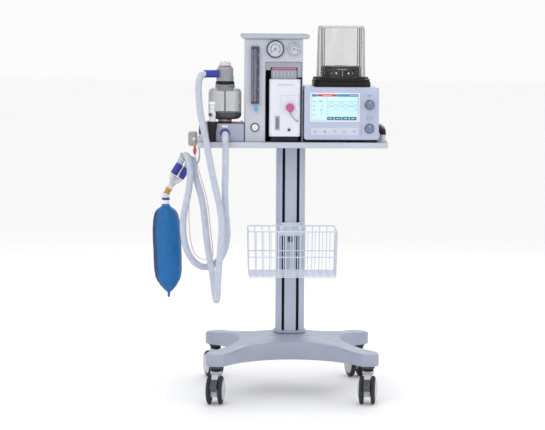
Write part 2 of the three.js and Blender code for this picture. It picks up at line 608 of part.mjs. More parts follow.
function makeHoses() {
  const hose = paint(0xbec6d7, 0.35);
  add('hose_inspiratory', tube(HOSE_INSPIRATORY_ROUTE, HOSE_R, 8, 48), hose, circuit);
  add('hose_expiratory', tube(HOSE_EXPIRATORY_ROUTE, HOSE_R, 8, 40), hose, circuit);
  add('sampling_line', tube(SAMPLING_ROUTE, LINE_R, 8, 40), paint(0xe2b8a8, 0.3), circuit);

  const cuff = paint(0x24379e, 0.4);
  const [hx, hy] = UPPER_CUFF.heading;
  const upper = rod(CUFF.r, UPPER_CUFF.start, UPPER_CUFF.start + UPPER_CUFF.length, 16);
  upper.rotateY(Math.PI / 2).rotateZ(Math.atan2(hy, hx)).translate(ABSORBER.x, ABSORBER.y, UPPER_CUFF.z);
  add('cuff_upper', upper, cuff, circuit);
  const lower = onFront(rod(CUFF.r, GAP, LOWER_CUFF.length, 16), ABSORBER.x, BLOCK.y0, LOWER_CUFF.z);
  add('cuff_lower', lower, cuff, circuit);
}

function makeYPiece() {
  const { x, y, z, tilt, cuffAlong, cuffAside } = Y_PIECE;
  const [cuffLow, cuffHigh] = [cuffAlong - CUFF.length / 2, cuffAlong + CUFF.length / 2];
  const cuffs = [-1, 1].map((side) =>
    rod(CUFF.r, cuffLow, cuffHigh, 16).translate(side * cuffAside, 0, 0));
  const chest = polygon([[-11, -14], [11, -14], [25, 24], [-25, 24]]);
  const stem = rod(11, -34, -13, 14);
  const piece = joined(alongY(chest, -11, 11), stem, ...cuffs);
  piece.rotateY(THREE.MathUtils.degToRad(tilt)).translate(x, y, z);
  add('y_piece', piece, paint(0xd4dae4, 0.2), circuit);

  const lean = THREE.MathUtils.degToRad(tilt);
  const start = 34 + GAP;
  const [ex, ez] = [x - start * Math.sin(lean), z - start * Math.cos(lean)];
  const route = [
    [ex, y, ez], [ex - 4 * Math.sin(lean), y, ez - 4 * Math.cos(lean)], [BAG.x + 3, y, z - 46],
    [BAG.x, y, z - 58], [BAG.x, y, BAG.neckZ + 3],
  ];
  add('bag_elbow', tube(route, 11, 12, 9), paint(0xc8964a, 0.25), circuit);
}

function makeBag() {
  const { x, bottomX, y, neckZ, bottomZ, tailZ, halfX, halfY } = BAG;
  const tall = neckZ - bottomZ;
  // Half width, as a part of the widest, at each part of the height above the tail.
  const widths = [
    [0.02, 0.2], [0.065, 0.48], [0.13, 0.74], [0.21, 0.92], [0.34, 1], [0.53, 1], [0.67, 0.96],
    [0.78, 0.86], [0.84, 0.74], [0.895, 0.54], [0.95, 0.3], [1, 0.25],
  ];
  const profile = [[0, tailZ], [5, tailZ], [5, bottomZ]];
  for (const [part, width] of widths) profile.push([width * halfX, bottomZ + part * tall]);
  profile.push([0, neckZ]);
  const bag = turned(profile, 16).scale(1, halfY / halfX, 1);
  const places = bag.attributes.position;
  for (let i = 0; i < places.count; i += 1) {
    const up = Math.max(0, (places.getZ(i) - bottomZ) / tall);
    places.setX(i, places.getX(i) + bottomX + (x - bottomX) * up);
  }
  bag.translate(0, y, 0).computeVertexNormals();
  add('breathing_bag', bag, paint(0x2c6eab, 0.35), circuit);
}

makeBase();
makeColumn();
makeCasters();
makeShelf();
makeHandle('handle_left', -HANDLE.x);
makeHandle('handle_right', HANDLE.x);
makeHook();
makeVentilator();
makeBellows();
makeTower();
makeFlowmeter();
makeGauge('large', GAUGE_LARGE);
makeGauge('small', GAUGE_SMALL);
makeVaporizer();
makeAbsorber();
makePopoff();
makeBasket();
makeHoses();
makeYPiece();
makeBag();

const box = new THREE.Box3().setFromObject(machine, true);
const centre = box.getCenter(new THREE.Vector3());
const anesthesiaMachine = new THREE.Group();
anesthesiaMachine.add(machine, circuit);
anesthesiaMachine.position.set(-centre.x, -centre.y, 0);

export default anesthesiaMachine;
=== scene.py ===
import math
import bpy
import bmesh
from mathutils import Matrix, Vector, noise


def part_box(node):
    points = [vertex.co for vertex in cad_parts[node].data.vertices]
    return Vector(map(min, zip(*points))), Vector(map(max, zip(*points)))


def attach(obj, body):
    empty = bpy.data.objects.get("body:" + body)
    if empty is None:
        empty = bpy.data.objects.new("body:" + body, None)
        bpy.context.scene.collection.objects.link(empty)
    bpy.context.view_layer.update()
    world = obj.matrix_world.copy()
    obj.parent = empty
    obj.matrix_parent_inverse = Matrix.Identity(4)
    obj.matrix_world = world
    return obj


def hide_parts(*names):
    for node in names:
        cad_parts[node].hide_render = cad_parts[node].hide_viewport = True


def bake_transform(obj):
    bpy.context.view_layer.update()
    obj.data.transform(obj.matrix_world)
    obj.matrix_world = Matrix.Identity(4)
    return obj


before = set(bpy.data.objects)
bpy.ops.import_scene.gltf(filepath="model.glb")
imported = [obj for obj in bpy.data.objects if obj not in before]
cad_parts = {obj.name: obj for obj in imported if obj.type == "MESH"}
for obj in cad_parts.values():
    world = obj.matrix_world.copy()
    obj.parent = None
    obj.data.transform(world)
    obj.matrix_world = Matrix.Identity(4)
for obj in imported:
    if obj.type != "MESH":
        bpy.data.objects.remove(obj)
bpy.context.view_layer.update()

# Shapes are written in millimetres round the column's axis, as in the CAD source, and put in place in
# metres by at(). +Z is up and the front faces -Y.
COLUMN_LOW, COLUMN_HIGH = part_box("column")
AXIS_X = (COLUMN_LOW[0] + COLUMN_HIGH[0]) / 2
AXIS_Y = (COLUMN_LOW[1] + COLUMN_HIGH[1]) / 2
MM = 0.001


def at(x, y, z):
    return Vector((AXIS_X + x * MM, AXIS_Y + y * MM, z * MM))


def rotation(degrees, axis):
    return Matrix.Rotation(math.radians(degrees), 4, axis)


# ---------- camera, light and stage ----------

CAMERA_DISTANCE = 7.0
CAMERA_HEIGHT = 1.394
CAMERA_SIDE = math.radians(-2.5)  # round the column, from straight in front
CAMERA_AIM = math.radians(0.53)  # the view's centre lies this far left of the column
CAMERA_PITCH = math.radians(6.143)
CAMERA_ROLL = math.radians(0.35)
CAMERA_LENS = 127.75


def make_camera():
    data = bpy.data.cameras.new("camera")
    data.lens = CAMERA_LENS
    data.sensor_width = 36
    camera = bpy.data.objects.new("camera", data)
    bpy.context.scene.collection.objects.link(camera)
    out = Vector((math.sin(CAMERA_SIDE), -math.cos(CAMERA_SIDE), 0)) * CAMERA_DISTANCE
    heading = CAMERA_SIDE + CAMERA_AIM
    turn = Matrix.Rotation(heading, 4, "Z") @ Matrix.Rotation(math.radians(90) - CAMERA_PITCH, 4, "X")
    place = Matrix.Translation(Vector((AXIS_X, AXIS_Y, CAMERA_HEIGHT)) + out)
    camera.matrix_world = place @ turn @ Matrix.Rotation(CAMERA_ROLL, 4, "Z")
    bpy.context.scene.camera = camera


def area_light(name, place, target, size, power):
    data = bpy.data.lights.new(name, "AREA")
    data.shape = "RECTANGLE"
    data.size, data.size_y = size
    data.energy = power
    light = bpy.data.objects.new(name, data)
    light.location = place
    light.rotation_euler = (Vector(target) - Vector(place)).to_track_quat("-Z", "Y").to_euler()
    bpy.context.scene.collection.objects.link(light)


def make_studio():
    world = bpy.data.worlds.new("studio")
    bpy.context.scene.world = world
    world.use_nodes = True
    sky = world.node_tree.nodes["Background"]
    sky.inputs["Color"].default_value = (1.0, 1.0, 1.0, 1)
    sky.inputs["Strength"].default_value = 0.97
    middle = (0, 0, 0.8)
    area_light("key", (-1.6, -3.2, 3.0), middle, (2.4, 2.4), 25)
    area_light("fill", (2.6, -2.4, 1.6), middle, (2.0, 2.4), 10)
    area_light("back", (0.6, 3.0, 2.6), middle, (2.6, 1.6), 24)
    bpy.context.scene.view_settings.view_transform = "Standard"
    bpy.ops.mesh.primitive_plane_add(size=60, location=(0, 0, 0))
    floor = bpy.context.object
    floor.name = "floor"
    floor.data.materials.append(
        surface("floor_paint", (0.965, 0.965, 0.97), 0.85, bump=0.0, vary=0.006, wear=0)
    )


# ---------- materials ----------


def shader(name):
    material = bpy.data.materials.new(name)
    material.use_nodes = True
    return material, material.node_tree, material.node_tree.nodes["Principled BSDF"]


def mapped_noise(tree, scale, detail=4, stretch=(1, 1, 1)):
    where = tree.nodes.new("ShaderNodeTexCoord")
    fit = tree.nodes.new("ShaderNodeMapping")
    fit.inputs["Scale"].default_value = stretch
    spots = tree.nodes.new("ShaderNodeTexNoise")
    spots.inputs["Scale"].default_value = scale
    spots.inputs["Detail"].default_value = detail
    tree.links.new(where.outputs["Object"], fit.inputs["Vector"])
    tree.links.new(fit.outputs["Vector"], spots.inputs["Vector"])
    return spots.outputs["Fac"]


def ramp(tree, source, low, high, out_low, out_high):
    """A number that runs from out_low to out_high as source runs from low to high."""
    node = tree.nodes.new("ShaderNodeMapRange")
    node.inputs["From Min"].default_value = low
    node.inputs["From Max"].default_value = high
    node.inputs["To Min"].default_value = out_low
    node.inputs["To Max"].default_value = out_high
    tree.links.new(source, node.inputs["Value"])
    return node.outputs["Result"]


def blend_colour(tree, factor, first, second):
    node = tree.nodes.new("ShaderNodeMix")
    node.data_type = "RGBA"
    for socket, colour in ((node.inputs[6], first), (node.inputs[7], second)):
        if isinstance(colour, tuple):
            socket.default_value = (*colour, 1)
        else:
            tree.links.new(colour, socket)
    tree.links.new(factor, node.inputs[0])
    return node.outputs[2]


def edge_wear(tree, amount):
    """1 on worn convex edges, 0 elsewhere."""
    geometry = tree.nodes.new("ShaderNodeNewGeometry")
    edge = ramp(tree, geometry.outputs["Pointiness"], 0.53, 0.62, 0, amount)
    scuffs = ramp(tree, mapped_noise(tree, 90), 0.45, 0.65, 0, 1)
    both = tree.nodes.new("ShaderNodeMath")
    both.operation = "MULTIPLY"
    tree.links.new(edge, both.inputs[0])
    tree.links.new(scuffs, both.inputs[1])
    return both.outputs[0]


def surface(
    name, colour, rough, grain=1.0, bump=0.08, vary=0.06, metal=0.0, wear=0.25, stretch=(1, 1, 1),
):
    """Paint, plastic or metal: slow colour drift, fine grain in the bump, patchy gloss and worn edges."""
    material, tree, bsdf = shader(name)
    drift = mapped_noise(tree, 7, 5, stretch)
    darker = tuple(c * (1 - vary) for c in colour)
    lighter = tuple(min(1, c * (1 + vary)) for c in colour)
    base = blend_colour(tree, ramp(tree, drift, 0.3, 0.7, 0, 1), darker, lighter)
    pale = tuple(min(1, c * 0.8 + 0.16) for c in colour)
    base = blend_colour(tree, edge_wear(tree, wear), base, pale)
    tree.links.new(base, bsdf.inputs["Base Color"])
    fine = mapped_noise(tree, 1400 * grain, 3, stretch)
    smears = mapped_noise(tree, 24, 6, stretch)
    gloss = ramp(tree, smears, 0.3, 0.7, max(0.03, rough - 0.07), rough + 0.07)
    tree.links.new(gloss, bsdf.inputs["Roughness"])
    relief = tree.nodes.new("ShaderNodeBump")
    relief.inputs["Strength"].default_value = bump
    relief.inputs["Distance"].default_value = 0.0004
    tree.links.new(fine, relief.inputs["Height"])
    tree.links.new(relief.outputs["Normal"], bsdf.inputs["Normal"])
    bsdf.inputs["Metallic"].default_value = metal
    return material


def clear(name, tint, rough, face_alpha, edge_alpha, smear=0.04, turn_start=0.15):
    """Clear or smoky plastic: see-through face on, denser where it turns away, with faint smears."""
    material, tree, bsdf = shader(name)
    turned = tree.nodes.new("ShaderNodeLayerWeight")
    turned.inputs["Blend"].default_value = 0.35
    alpha = ramp(tree, turned.outputs["Facing"], turn_start, 0.95, face_alpha, edge_alpha)
    streaks = mapped_noise(tree, 30, 6, (1, 1, 0.3))
    added = tree.nodes.new("ShaderNodeMath")
    added.operation = "ADD"
    added.use_clamp = True
    tree.links.new(alpha, added.inputs[0])
    tree.links.new(ramp(tree, streaks, 0.4, 0.7, 0, smear), added.inputs[1])
    tree.links.new(added.outputs[0], bsdf.inputs["Alpha"])
    drift = ramp(tree, mapped_noise(tree, 12), 0.3, 0.7, 0, 1)
    shade = blend_colour(tree, drift, tuple(c * 0.92 for c in tint), tint)
    tree.links.new(shade, bsdf.inputs["Base Color"])
    tree.links.new(ramp(tree, streaks, 0.3, 0.7, rough, rough + 0.08), bsdf.inputs["Roughness"])
    bsdf.inputs["IOR"].default_value = 1.5
    return material


def shade_folds(material, low, high, deep):
    """Paints shade: darkens a material to the colour deep wherever the form is hollow."""
    tree = material.node_tree
    bsdf = tree.nodes["Principled BSDF"]
    geometry = tree.nodes.new("ShaderNodeNewGeometry")
    plain = bsdf.inputs["Base Color"].links[0].from_socket
    hollow_part = ramp(tree, geometry.outputs["Pointiness"], low, high, 0.8, 0)
    tree.links.new(blend_colour(tree, hollow_part, plain, deep), bsdf.inputs["Base Color"])


def soft_translucent(name, colour, rough, subsurface=0.15):
    """Hose and rubber: a little light goes through, with a mottled colour and a slightly waxy gloss."""
    material, tree, bsdf = shader(name)
    mottle = ramp(tree, mapped_noise(tree, 60, 6), 0.3, 0.7, 0, 1)
    deep = tuple(c * 0.86 for c in colour)
    tree.links.new(blend_colour(tree, mottle, deep, colour), bsdf.inputs["Base Color"])
    gloss = ramp(tree, mapped_noise(tree, 35, 5), 0.3, 0.7, rough - 0.06, rough + 0.1)
    tree.links.new(gloss, bsdf.inputs["Roughness"])
    relief = tree.nodes.new("ShaderNodeBump")
    relief.inputs["Strength"].default_value = 0.12
    relief.inputs["Distance"].default_value = 0.0006
    tree.links.new(mapped_noise(tree, 500, 4), relief.inputs["Height"])
    tree.links.new(relief.outputs["Normal"], bsdf.inputs["Normal"])
    bsdf.inputs["Subsurface Weight"].default_value = subsurface
    bsdf.inputs["Subsurface Radius"].default_value = (0.004, 0.004, 0.005)
    return material


# ---------- mesh building ----------
# A form is a pair of lists, corners in millimetres and faces.


def merged(*forms):
    corners, faces = [], []
    for form_corners, form_faces in forms:
        start = len(corners)
        corners += form_corners
        faces += [[start + i for i in face] for face in form_faces]
    return corners, faces


def placed(form, matrix):
    corners, faces = form
    return [tuple(matrix @ Vector(c)) for c in corners], faces


def moved(form, x, y, z):
    return placed(form, Matrix.Translation((x, y, z)))


def on_front(x, y, z):
    """Places a form made along +Z so that it stands out towards -Y."""
    return Matrix.Translation((x, y, z)) @ rotation(90, "X")


def lathe(profile, sides=48):
    """A profile of (radius, height) pairs turned about Z. Points on the axis close it."""
    corners, rings = [], []
    for r, z in profile:
        if r < 1e-6:
            rings.append([len(corners)])
            corners.append((0, 0, z))
            continue
        rings.append(list(range(len(corners), len(corners) + sides)))
        for i in range(sides):
            turn = 2 * math.pi * i / sides
            corners.append((r * math.cos(turn), r * math.sin(turn), z))
    faces = []
    for below, above in zip(rings, rings[1:]):
        if len(below) == 1 and len(above) == 1:
            continue
        for i in range(sides):
            j = (i + 1) % sides
            a, b = below[i % len(below)], below[j % len(below)]
            c, d = above[j % len(above)], above[i % len(above)]
            faces.append(list(dict.fromkeys((a, b, c, d))))
    return corners, faces


def disc(r, z0, z1, sides=32):
    return lathe([(0, z0), (r, z0), (r, z1), (0, z1)], sides)


def ring(r_in, r_out, z0, z1, sides=40):
    return lathe([(r_in, z0), (r_out, z0), (r_out, z1), (r_in, z1), (r_in, z0)], sides)


def rounded(x0, x1, y0, y1, r, steps=6):
    """Outline of a rectangle with round corners, counterclockwise."""
    outline = []
    for cx, cy, start in (
        (x1 - r, y0 + r, -90), (x1 - r, y1 - r, 0), (x0 + r, y1 - r, 90), (x0 + r, y0 + r, 180),
    ):
        for i in range(steps + 1):
            turn = math.radians(start + 90 * i / steps)
            outline.append((cx + r * math.cos(turn), cy + r * math.sin(turn)))
    return outline


def prism(outline, z0, z1):
    count = len(outline)
    corners = [(x, y, z0) for x, y in outline] + [(x, y, z1) for x, y in outline]
    faces = [list(range(count))[::-1], list(range(count, 2 * count))]
    faces += [[i, (i + 1) % count, count + (i + 1) % count, count + i] for i in range(count)]
    return corners, faces


def hollow(outer, inner, z0, z1):
    """A prism with a hole through it. Both outlines have the same number of points."""
    count = len(outer)
    corners = [(x, y, z) for outline in (outer, inner) for z in (z0, z1) for x, y in outline]
    faces = []
    for i in range(count):
        j = (i + 1) % count
        faces += [[i, j, count + j, count + i], [2 * count + j, 2 * count + i, 3 * count + i, 3 * count + j]]
        faces += [[j, i, 2 * count + i, 2 * count + j], [count + i, count + j, 3 * count + j, 3 * count + i]]
    return corners, faces


def stacked(rings):
    """A closed form through rings of corners, each with the same number."""
    count, faces = len(rings[0]), []
    for level in range(len(rings) - 1):
        low, high = level * count, (level + 1) * count
        for i in range(count):
            j = (i + 1) % count
            faces.append([low + i, low + j, high + j, high + i])
    faces.append(list(range(count))[::-1])
    faces.append([(len(rings) - 1) * count + i for i in range(count)])
    return [corner for ring_corners in rings for corner in ring_corners], faces


def fluted(profile, sides, flutes, depth, levels):
    """A turned form whose profile is drawn in by depth between its flutes on the given levels."""
    rings = []
    for level, (r, z) in enumerate(profile):
        deep = depth if level in levels else 0
        rings.append([])
        for i in range(sides):
            turn = 2 * math.pi * i / sides
            radius = r - deep * (0.5 - 0.5 * math.cos(flutes * turn))
            rings[-1].append((radius * math.cos(turn), radius * math.sin(turn), z))
    return stacked(rings)


def spun(form, angles):
    """Copies of a form, one turned about Z by each angle in degrees."""
    return [placed(form, rotation(a, "Z")) for a in angles]


def brick(x0, x1, y0, y1, z0, z1):
    return prism([(x0, y0), (x1, y0), (x1, y1), (x0, y1)], z0, z1)


def slab_y(outline, y0, y1):
    """A prism whose outline is in X and Z, from y0 back to y1."""
    return placed(prism(outline, 0, y1 - y0), on_front(0, y1, 0))


def slab_x(outline, x0, x1):
    """A prism whose outline is in Y and Z, from x0 to x1."""
    turn = Matrix(((0, 0, 1, x0), (1, 0, 0, 0), (0, 1, 0, 0), (0, 0, 0, 1)))
    return placed(prism(outline, 0, x1 - x0), turn)


def smooth_path(points, step):
    """Points a step apart along a centripetal Catmull-Rom curve through the given points."""
    pts = [Vector(p) for p in points]
    pts = [2 * pts[0] - pts[1]] + pts + [2 * pts[-1] - pts[-2]]
    fine = []
    for p0, p1, p2, p3 in zip(pts, pts[1:], pts[2:], pts[3:]):
        knots = [0.0]
        for a, b in ((p0, p1), (p1, p2), (p2, p3)):
            knots.append(knots[-1] + max((b - a).length, 1e-6) ** 0.5)
        k0, k1, k2, k3 = knots
        pieces = max(4, int((p2 - p1).length / 2))
        for i in range(pieces):
            t = k1 + (k2 - k1) * i / pieces
            a1 = (k1 - t) / (k1 - k0) * p0 + (t - k0) / (k1 - k0) * p1
            a2 = (k2 - t) / (k2 - k1) * p1 + (t - k1) / (k2 - k1) * p2
            a3 = (k3 - t) / (k3 - k2) * p2 + (t - k2) / (k3 - k2) * p3
            b1 = (k2 - t) / (k2 - k0) * a1 + (t - k0) / (k2 - k0) * a2
            b2 = (k3 - t) / (k3 - k1) * a2 + (t - k1) / (k3 - k1) * a3
            fine.append((k2 - t) / (k2 - k1) * b1 + (t - k1) / (k2 - k1) * b2)
    fine.append(pts[-2])
    runs = [0.0]
    for a, b in zip(fine, fine[1:]):
        runs.append(runs[-1] + (b - a).length)
    count = max(2, round(runs[-1] / step))
    even, j = [], 0
    for i in range(count + 1):
        want = runs[-1] * i / count
        while j < len(fine) - 2 and runs[j + 1] < want:
            j += 1
        share = (want - runs[j]) / max(runs[j + 1] - runs[j], 1e-9)
        even.append(fine[j].lerp(fine[j + 1], min(1, max(0, share))))
    return even


def tube(path, radius, sides=16, closed=False):
    """A tube along path. radius is a number or a list with one for each point."""
    path = [Vector(p) for p in path]
    count = len(path)
    radii = radius if isinstance(radius, list) else [radius] * count
    corners, faces = [], []
    across = None
    for i, point in enumerate(path):
        before = path[i - 1] if closed or i else path[0]
        after = path[(i + 1) % count] if closed or i < count - 1 else path[-1]
        heading = (after - before).normalized()
        if across is None:
            across = heading.orthogonal().normalized()
        across = (across - heading * across.dot(heading)).normalized()
        up = heading.cross(across)
        for k in range(sides):
            turn = 2 * math.pi * k / sides
            corners.append(tuple(point + radii[i] * (math.cos(turn) * across + math.sin(turn) * up)))
    for i in range(count if closed else count - 1):
        for k in range(sides):
            k1 = (k + 1) % sides
            j = (i + 1) % count
            faces.append([i * sides + k, i * sides + k1, j * sides + k1, j * sides + k])
    if not closed:
        faces.append(list(range(sides))[::-1])
        faces.append([(count - 1) * sides + k for k in range(sides)])
    return corners, faces


def piece(name, form, material, body="root", bevel=0.0, sharp=40, segments=2, replaces=()):
    """Makes the object on a body, with its sharp edges rounded by bevel millimetres where one is given."""
    corners, faces = form
    mesh = bpy.data.meshes.new(name)
    mesh.from_pydata([at(*c) for c in corners], [], faces)
    mesh.materials.append(material)
    edit = bmesh.new()
    edit.from_mesh(mesh)
    bmesh.ops.remove_doubles(edit, verts=edit.verts, dist=1e-6)
    bmesh.ops.recalc_face_normals(edit, faces=edit.faces)
    for face in edit.faces:
        face.smooth = True
    for edge in edit.edges:
        edge.smooth = edge.calc_face_angle(0) < math.radians(sharp)
    edit.to_mesh(mesh)
    edit.free()
    obj = bpy.data.objects.new(name, mesh)
    bpy.context.scene.collection.objects.link(obj)
    if bevel:
        soften(obj, bevel, sharp, segments)
    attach(obj, body)
    if replaces:
        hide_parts(*replaces)
    return obj


def soften(obj, bevel, sharp=40, segments=2):
    edges = obj.modifiers.new("edges", "BEVEL")
    edges.width = bevel * MM
    edges.segments = segments
    edges.limit_method = "ANGLE"
    edges.angle_limit = math.radians(sharp)
    edges.miter_outer = "MITER_ARC"
    even = obj.modifiers.new("normals", "WEIGHTED_NORMAL")
    even.keep_sharp = False


make_camera()
make_studio()

# ---------- finishes ----------

BASE_SHELL = surface("base_shell", (0.33, 0.355, 0.455), 0.42, bump=0.12)
FRAME_STEEL = surface("frame_steel", (0.05, 0.05, 0.06), 0.5, metal=0.3)
COLUMN_ALLOY = surface("column_alloy", (0.42, 0.46, 0.57), 0.38, metal=0.15, stretch=(1, 1, 0.05))
SHELF_SHEET = surface("shelf_sheet", (0.49, 0.52, 0.62), 0.34, bump=0.1)
BLACK = surface("black_plastic", (0.010, 0.010, 0.013), 0.4, grain=0.7, bump=0.2)
SLOT_BLACK = surface("slot_black", (0.003, 0.003, 0.004), 0.7, bump=0.2, wear=0)
RUBBER = surface("black_rubber", (0.02, 0.02, 0.022), 0.7, grain=0.5, bump=0.3)
CASTER_GREY = surface("caster_grey", (0.50, 0.52, 0.57), 0.4)
TREAD = surface("tread", (0.034, 0.034, 0.04), 0.7, grain=0.5, bump=0.3)
for DULL in (BLACK, SLOT_BLACK, RUBBER, TREAD):
    DULL.node_tree.nodes["Principled BSDF"].inputs["Specular IOR Level"].default_value = 0.22
PEDAL_GREY = surface("pedal_grey", (0.06, 0.065, 0.08), 0.55, bump=0.2)
STEEL = surface("bright_steel", (0.52, 0.53, 0.55), 0.24, metal=1.0, bump=0.03)
BEIGE = surface("beige_plastic", (0.40, 0.38, 0.335), 0.45)
VENT_PLASTIC = surface("vent_plastic", (0.44, 0.48, 0.64), 0.4, bump=0.15)
VENT_LIGHT = surface("vent_light", (0.56, 0.58, 0.68), 0.4, bump=0.15)
KNOB_GREY = surface("knob_grey", (0.14, 0.19, 0.28), 0.48, bump=0.2)
TOWER_PAINT = surface("tower_paint", (0.50, 0.53, 0.60), 0.38, bump=0.1)
WHITE_PAINT = surface("white_paint", (0.70, 0.72, 0.80), 0.3, bump=0.05)
WHITE = surface("white_plastic", (0.82, 0.83, 0.86), 0.35)
SHADOW_GREY = surface("bay_grey", (0.20, 0.21, 0.26), 0.6)
FASCIA_GREY = surface("fascia_grey", (0.34, 0.35, 0.41), 0.5)
BLOCK_ALLOY = surface("block_alloy", (0.38, 0.40, 0.50), 0.36, metal=0.4, stretch=(0.1, 1, 1))
WIRE_COAT = surface("wire_coat", (0.60, 0.64, 0.74), 0.3, bump=0.05)
GREEN = surface("green_plastic", (0.03, 0.075, 0.055), 0.5)
RED = surface("red_plastic", (0.50, 0.03, 0.035), 0.4)
LUER_RED = surface("luer_red", (0.52, 0.10, 0.15), 0.35, bump=0.1)
ORANGE = surface("orange_plastic", (0.75, 0.11, 0.03), 0.35)
SKY_BLUE = surface("sky_blue_plastic", (0.06, 0.37, 0.62), 0.35)
PINK = surface("pink_plastic", (0.55, 0.09, 0.28), 0.4, bump=0.15)
INK = surface("ink", (0.03, 0.03, 0.04), 0.5, vary=0.2)
FLOW_DARK = surface("flow_dark", (0.045, 0.05, 0.11), 0.25)
FLOW_GREY = surface("flow_grey", (0.105, 0.115, 0.195), 0.25)
CUFF_BLUE = soft_translucent("cuff_blue", (0.022, 0.045, 0.36), 0.4)
HOSE = soft_translucent("hose_plastic", (0.58, 0.63, 0.74), 0.36, subsurface=0.12)
# Painted shade in the grooves between the hose's ribs.
shade_folds(HOSE, 0.45, 0.505, (0.22, 0.26, 0.35))
AMBER = soft_translucent("amber_plastic", (0.58, 0.28, 0.045), 0.25)
LINE = soft_translucent("line_plastic", (0.78, 0.48, 0.40), 0.3)
CLEAR = clear("clear_plastic", (0.21, 0.215, 0.195), 0.05, 0.09, 0.78, 0.03, turn_start=0.42)
CLEAR_HAZY = clear("hazy_plastic", (0.72, 0.75, 0.79), 0.12, 0.5, 0.95)
POPOFF_WHITE = clear("popoff_white", (0.80, 0.82, 0.86), 0.15, 0.86, 1.0)
SMOKY = clear("smoky_plastic", (0.22, 0.235, 0.26), 0.12, 0.72, 0.98)
LENS = clear("lens", (0.9, 0.92, 0.95), 0.03, 0.06, 0.5)

# ---------- hoses, sampling line, Y-piece and bag ----------

HOSE_R = 12.4
HOSE_PITCH = 6.4  # between two ribs
HOSE_RIB = 2.0  # depth of the ribs
LINE_R = 1.5
CUFF_R = 13.9
CHEST_Y = -15  # the Y-piece, its elbow and the bag share this plane
CHEST_X, CHEST_Z, CHEST_TILT = -424, 764, 32
LEG_ASIDE = 14.2  # from the Y-piece's middle to each leg
BAG_NECK_X = -452
LUER_X, LUER_Y = -346.8, -124
HOSE_INSPIRATORY_ROUTE = [
    (-311.2, -136.9, 1157), (-317.2, -140.4, 1157), (-326, -145.5, 1152), (-332, -149, 1141),
    (-335, -152, 1120), (-334, -158, 1085), (-330, -170, 1040), (-323, -188, 995), (-312, -203, 950),
    (-303, -212, 905), (-293, -218, 850), (-280, -222, 786), (-263, -226, 715), (-252, -232, 655),
    (-251, -240, 600), (-256, -247, 545), (-261, -253, 480), (-265, -252, 410), (-267, -234, 368),
    (-270, -204, 354), (-274, -172, 370), (-279, -148, 412), (-286, -138, 460), (-297, -136, 520),
    (-306, -136, 590), (-312, -136, 650), (-320, -134, 705), (-334, -128, 757), (-347, -120, 797),
    (-351, -112, 824), (-352, -98, 843), (-355, -80, 851), (-360, -58, 850), (-366, -38, 843),
    (-370.5, -23, 830), (-375, -16, 816.5), (-379, -15, 810),
]
HOSE_EXPIRATORY_ROUTE = [
    (-240, -180, 948), (-240, -187, 948), (-240, -199, 943), (-240, -207, 931), (-239, -210, 915),
    (-238, -208, 870), (-239, -203, 800), (-240, -197, 730), (-235, -191, 650), (-231, -183, 600),
    (-235, -168, 553), (-249, -143, 510), (-275, -112, 474), (-308, -96, 459), (-338, -96, 468),
    (-362, -103, 498), (-380, -113, 540), (-388, -122, 590), (-388, -131, 640), (-379, -140, 690),
    (-368, -147, 740), (-363, -148, 790), (-363, -142, 822), (-366, -126, 847), (-371, -103, 861),
    (-378, -78, 865), (-387, -52, 860), (-394, -32, 851), (-397.5, -19, 838.5), (-400.3, -15.5, 830),
    (-403, -15, 825),
]
SAMPLING_ROUTE = [
    (-349, -111, 924), (-349, -118, 923), (-349, -123, 914), (-348, -124, 900), (-347, -124, 876),
    (-341, -124, 848), (-332, -120, 812), (-318, -118, 762), (-303, -120, 705), (-295, -122, 645),
    (-289, -122, 590), (-283, -120, 540), (-282, -110, 508), (-293, -99, 493), (-312, -96, 490),
    (-332, -96, 497), (-349, -94, 516), (-360, -91, 550), (-366, -88, 600), (-368, -86, 650),
    (-366, -84, 705), (-361, -80, 760), (-359, -72, 800), (-366, -56, 821), (-378, -44, 828),
    (-391, -38, 815), (-401, -35, 797), (-407.5, -33, 783),
]


def relaxed(path, reach):
    """The path with small wobbles taken out over reach points each way. Its ends stay where they are."""
    smooth = []
    last = len(path) - 1
    for i in range(len(path)):
        near = min(reach, i, last - i)
        total, weights = Vector((0, 0, 0)), 0.0
        for k in range(-near, near + 1):
            weight = math.cos(0.5 * math.pi * k / (near + 1)) ** 2
            total += weight * path[i + k]
            weights += weight
        smooth.append(total / weights)
    return smooth


def corrugated(route):
    """The route's even path, four points a rib, and the tube's radius at each."""
    path = relaxed(smooth_path(route, HOSE_PITCH / 4), 34)
    low = HOSE_R - HOSE_RIB
    wave = (HOSE_R, HOSE_R - 0.2 * HOSE_RIB, low, HOSE_R - 0.2 * HOSE_RIB)
    radii = [wave[i % 4] for i in range(len(path))]
    plain = 8  # smooth ends inside the cuffs
    radii[:plain] = radii[-plain:] = [low] * plain
    return path, radii


def make_hose(name, route):
    path, radii = corrugated(route)
    hose = piece(name + "_tube", tube(path, radii, 20), HOSE, sharp=80, replaces=[name])
    along = [at(*p) for p in path[::4]]
    if (path[-1] - path[(len(path) - 1) // 4 * 4]).length > 1e-6:
        along.append(at(*path[-1]))


def cuff(r, z0, z1):
    """A soft push-on cuff: a bead at each end and grip rings between."""
    profile = [(r - 2.4, z0), (r - 0.8, z0), (r, z0 + 0.8), (r, z0 + 3.2), (r - 0.9, z0 + 4.2)]
    rings = 5
    pitch = (z1 - z0 - 12) / rings
    for i in range(rings):
        low = z0 + 6 + i * pitch
        profile += [
            (r - 0.9, low), (r - 0.1, low + 0.25 * pitch), (r - 0.1, low + 0.6 * pitch),
            (r - 0.9, low + 0.85 * pitch),
        ]
    profile += [(r - 0.9, z1 - 4.2), (r, z1 - 3.2), (r, z1 - 0.8), (r - 0.8, z1), (r - 2.4, z1)]
    return lathe(profile + [(r - 2.4, z0)], 40)


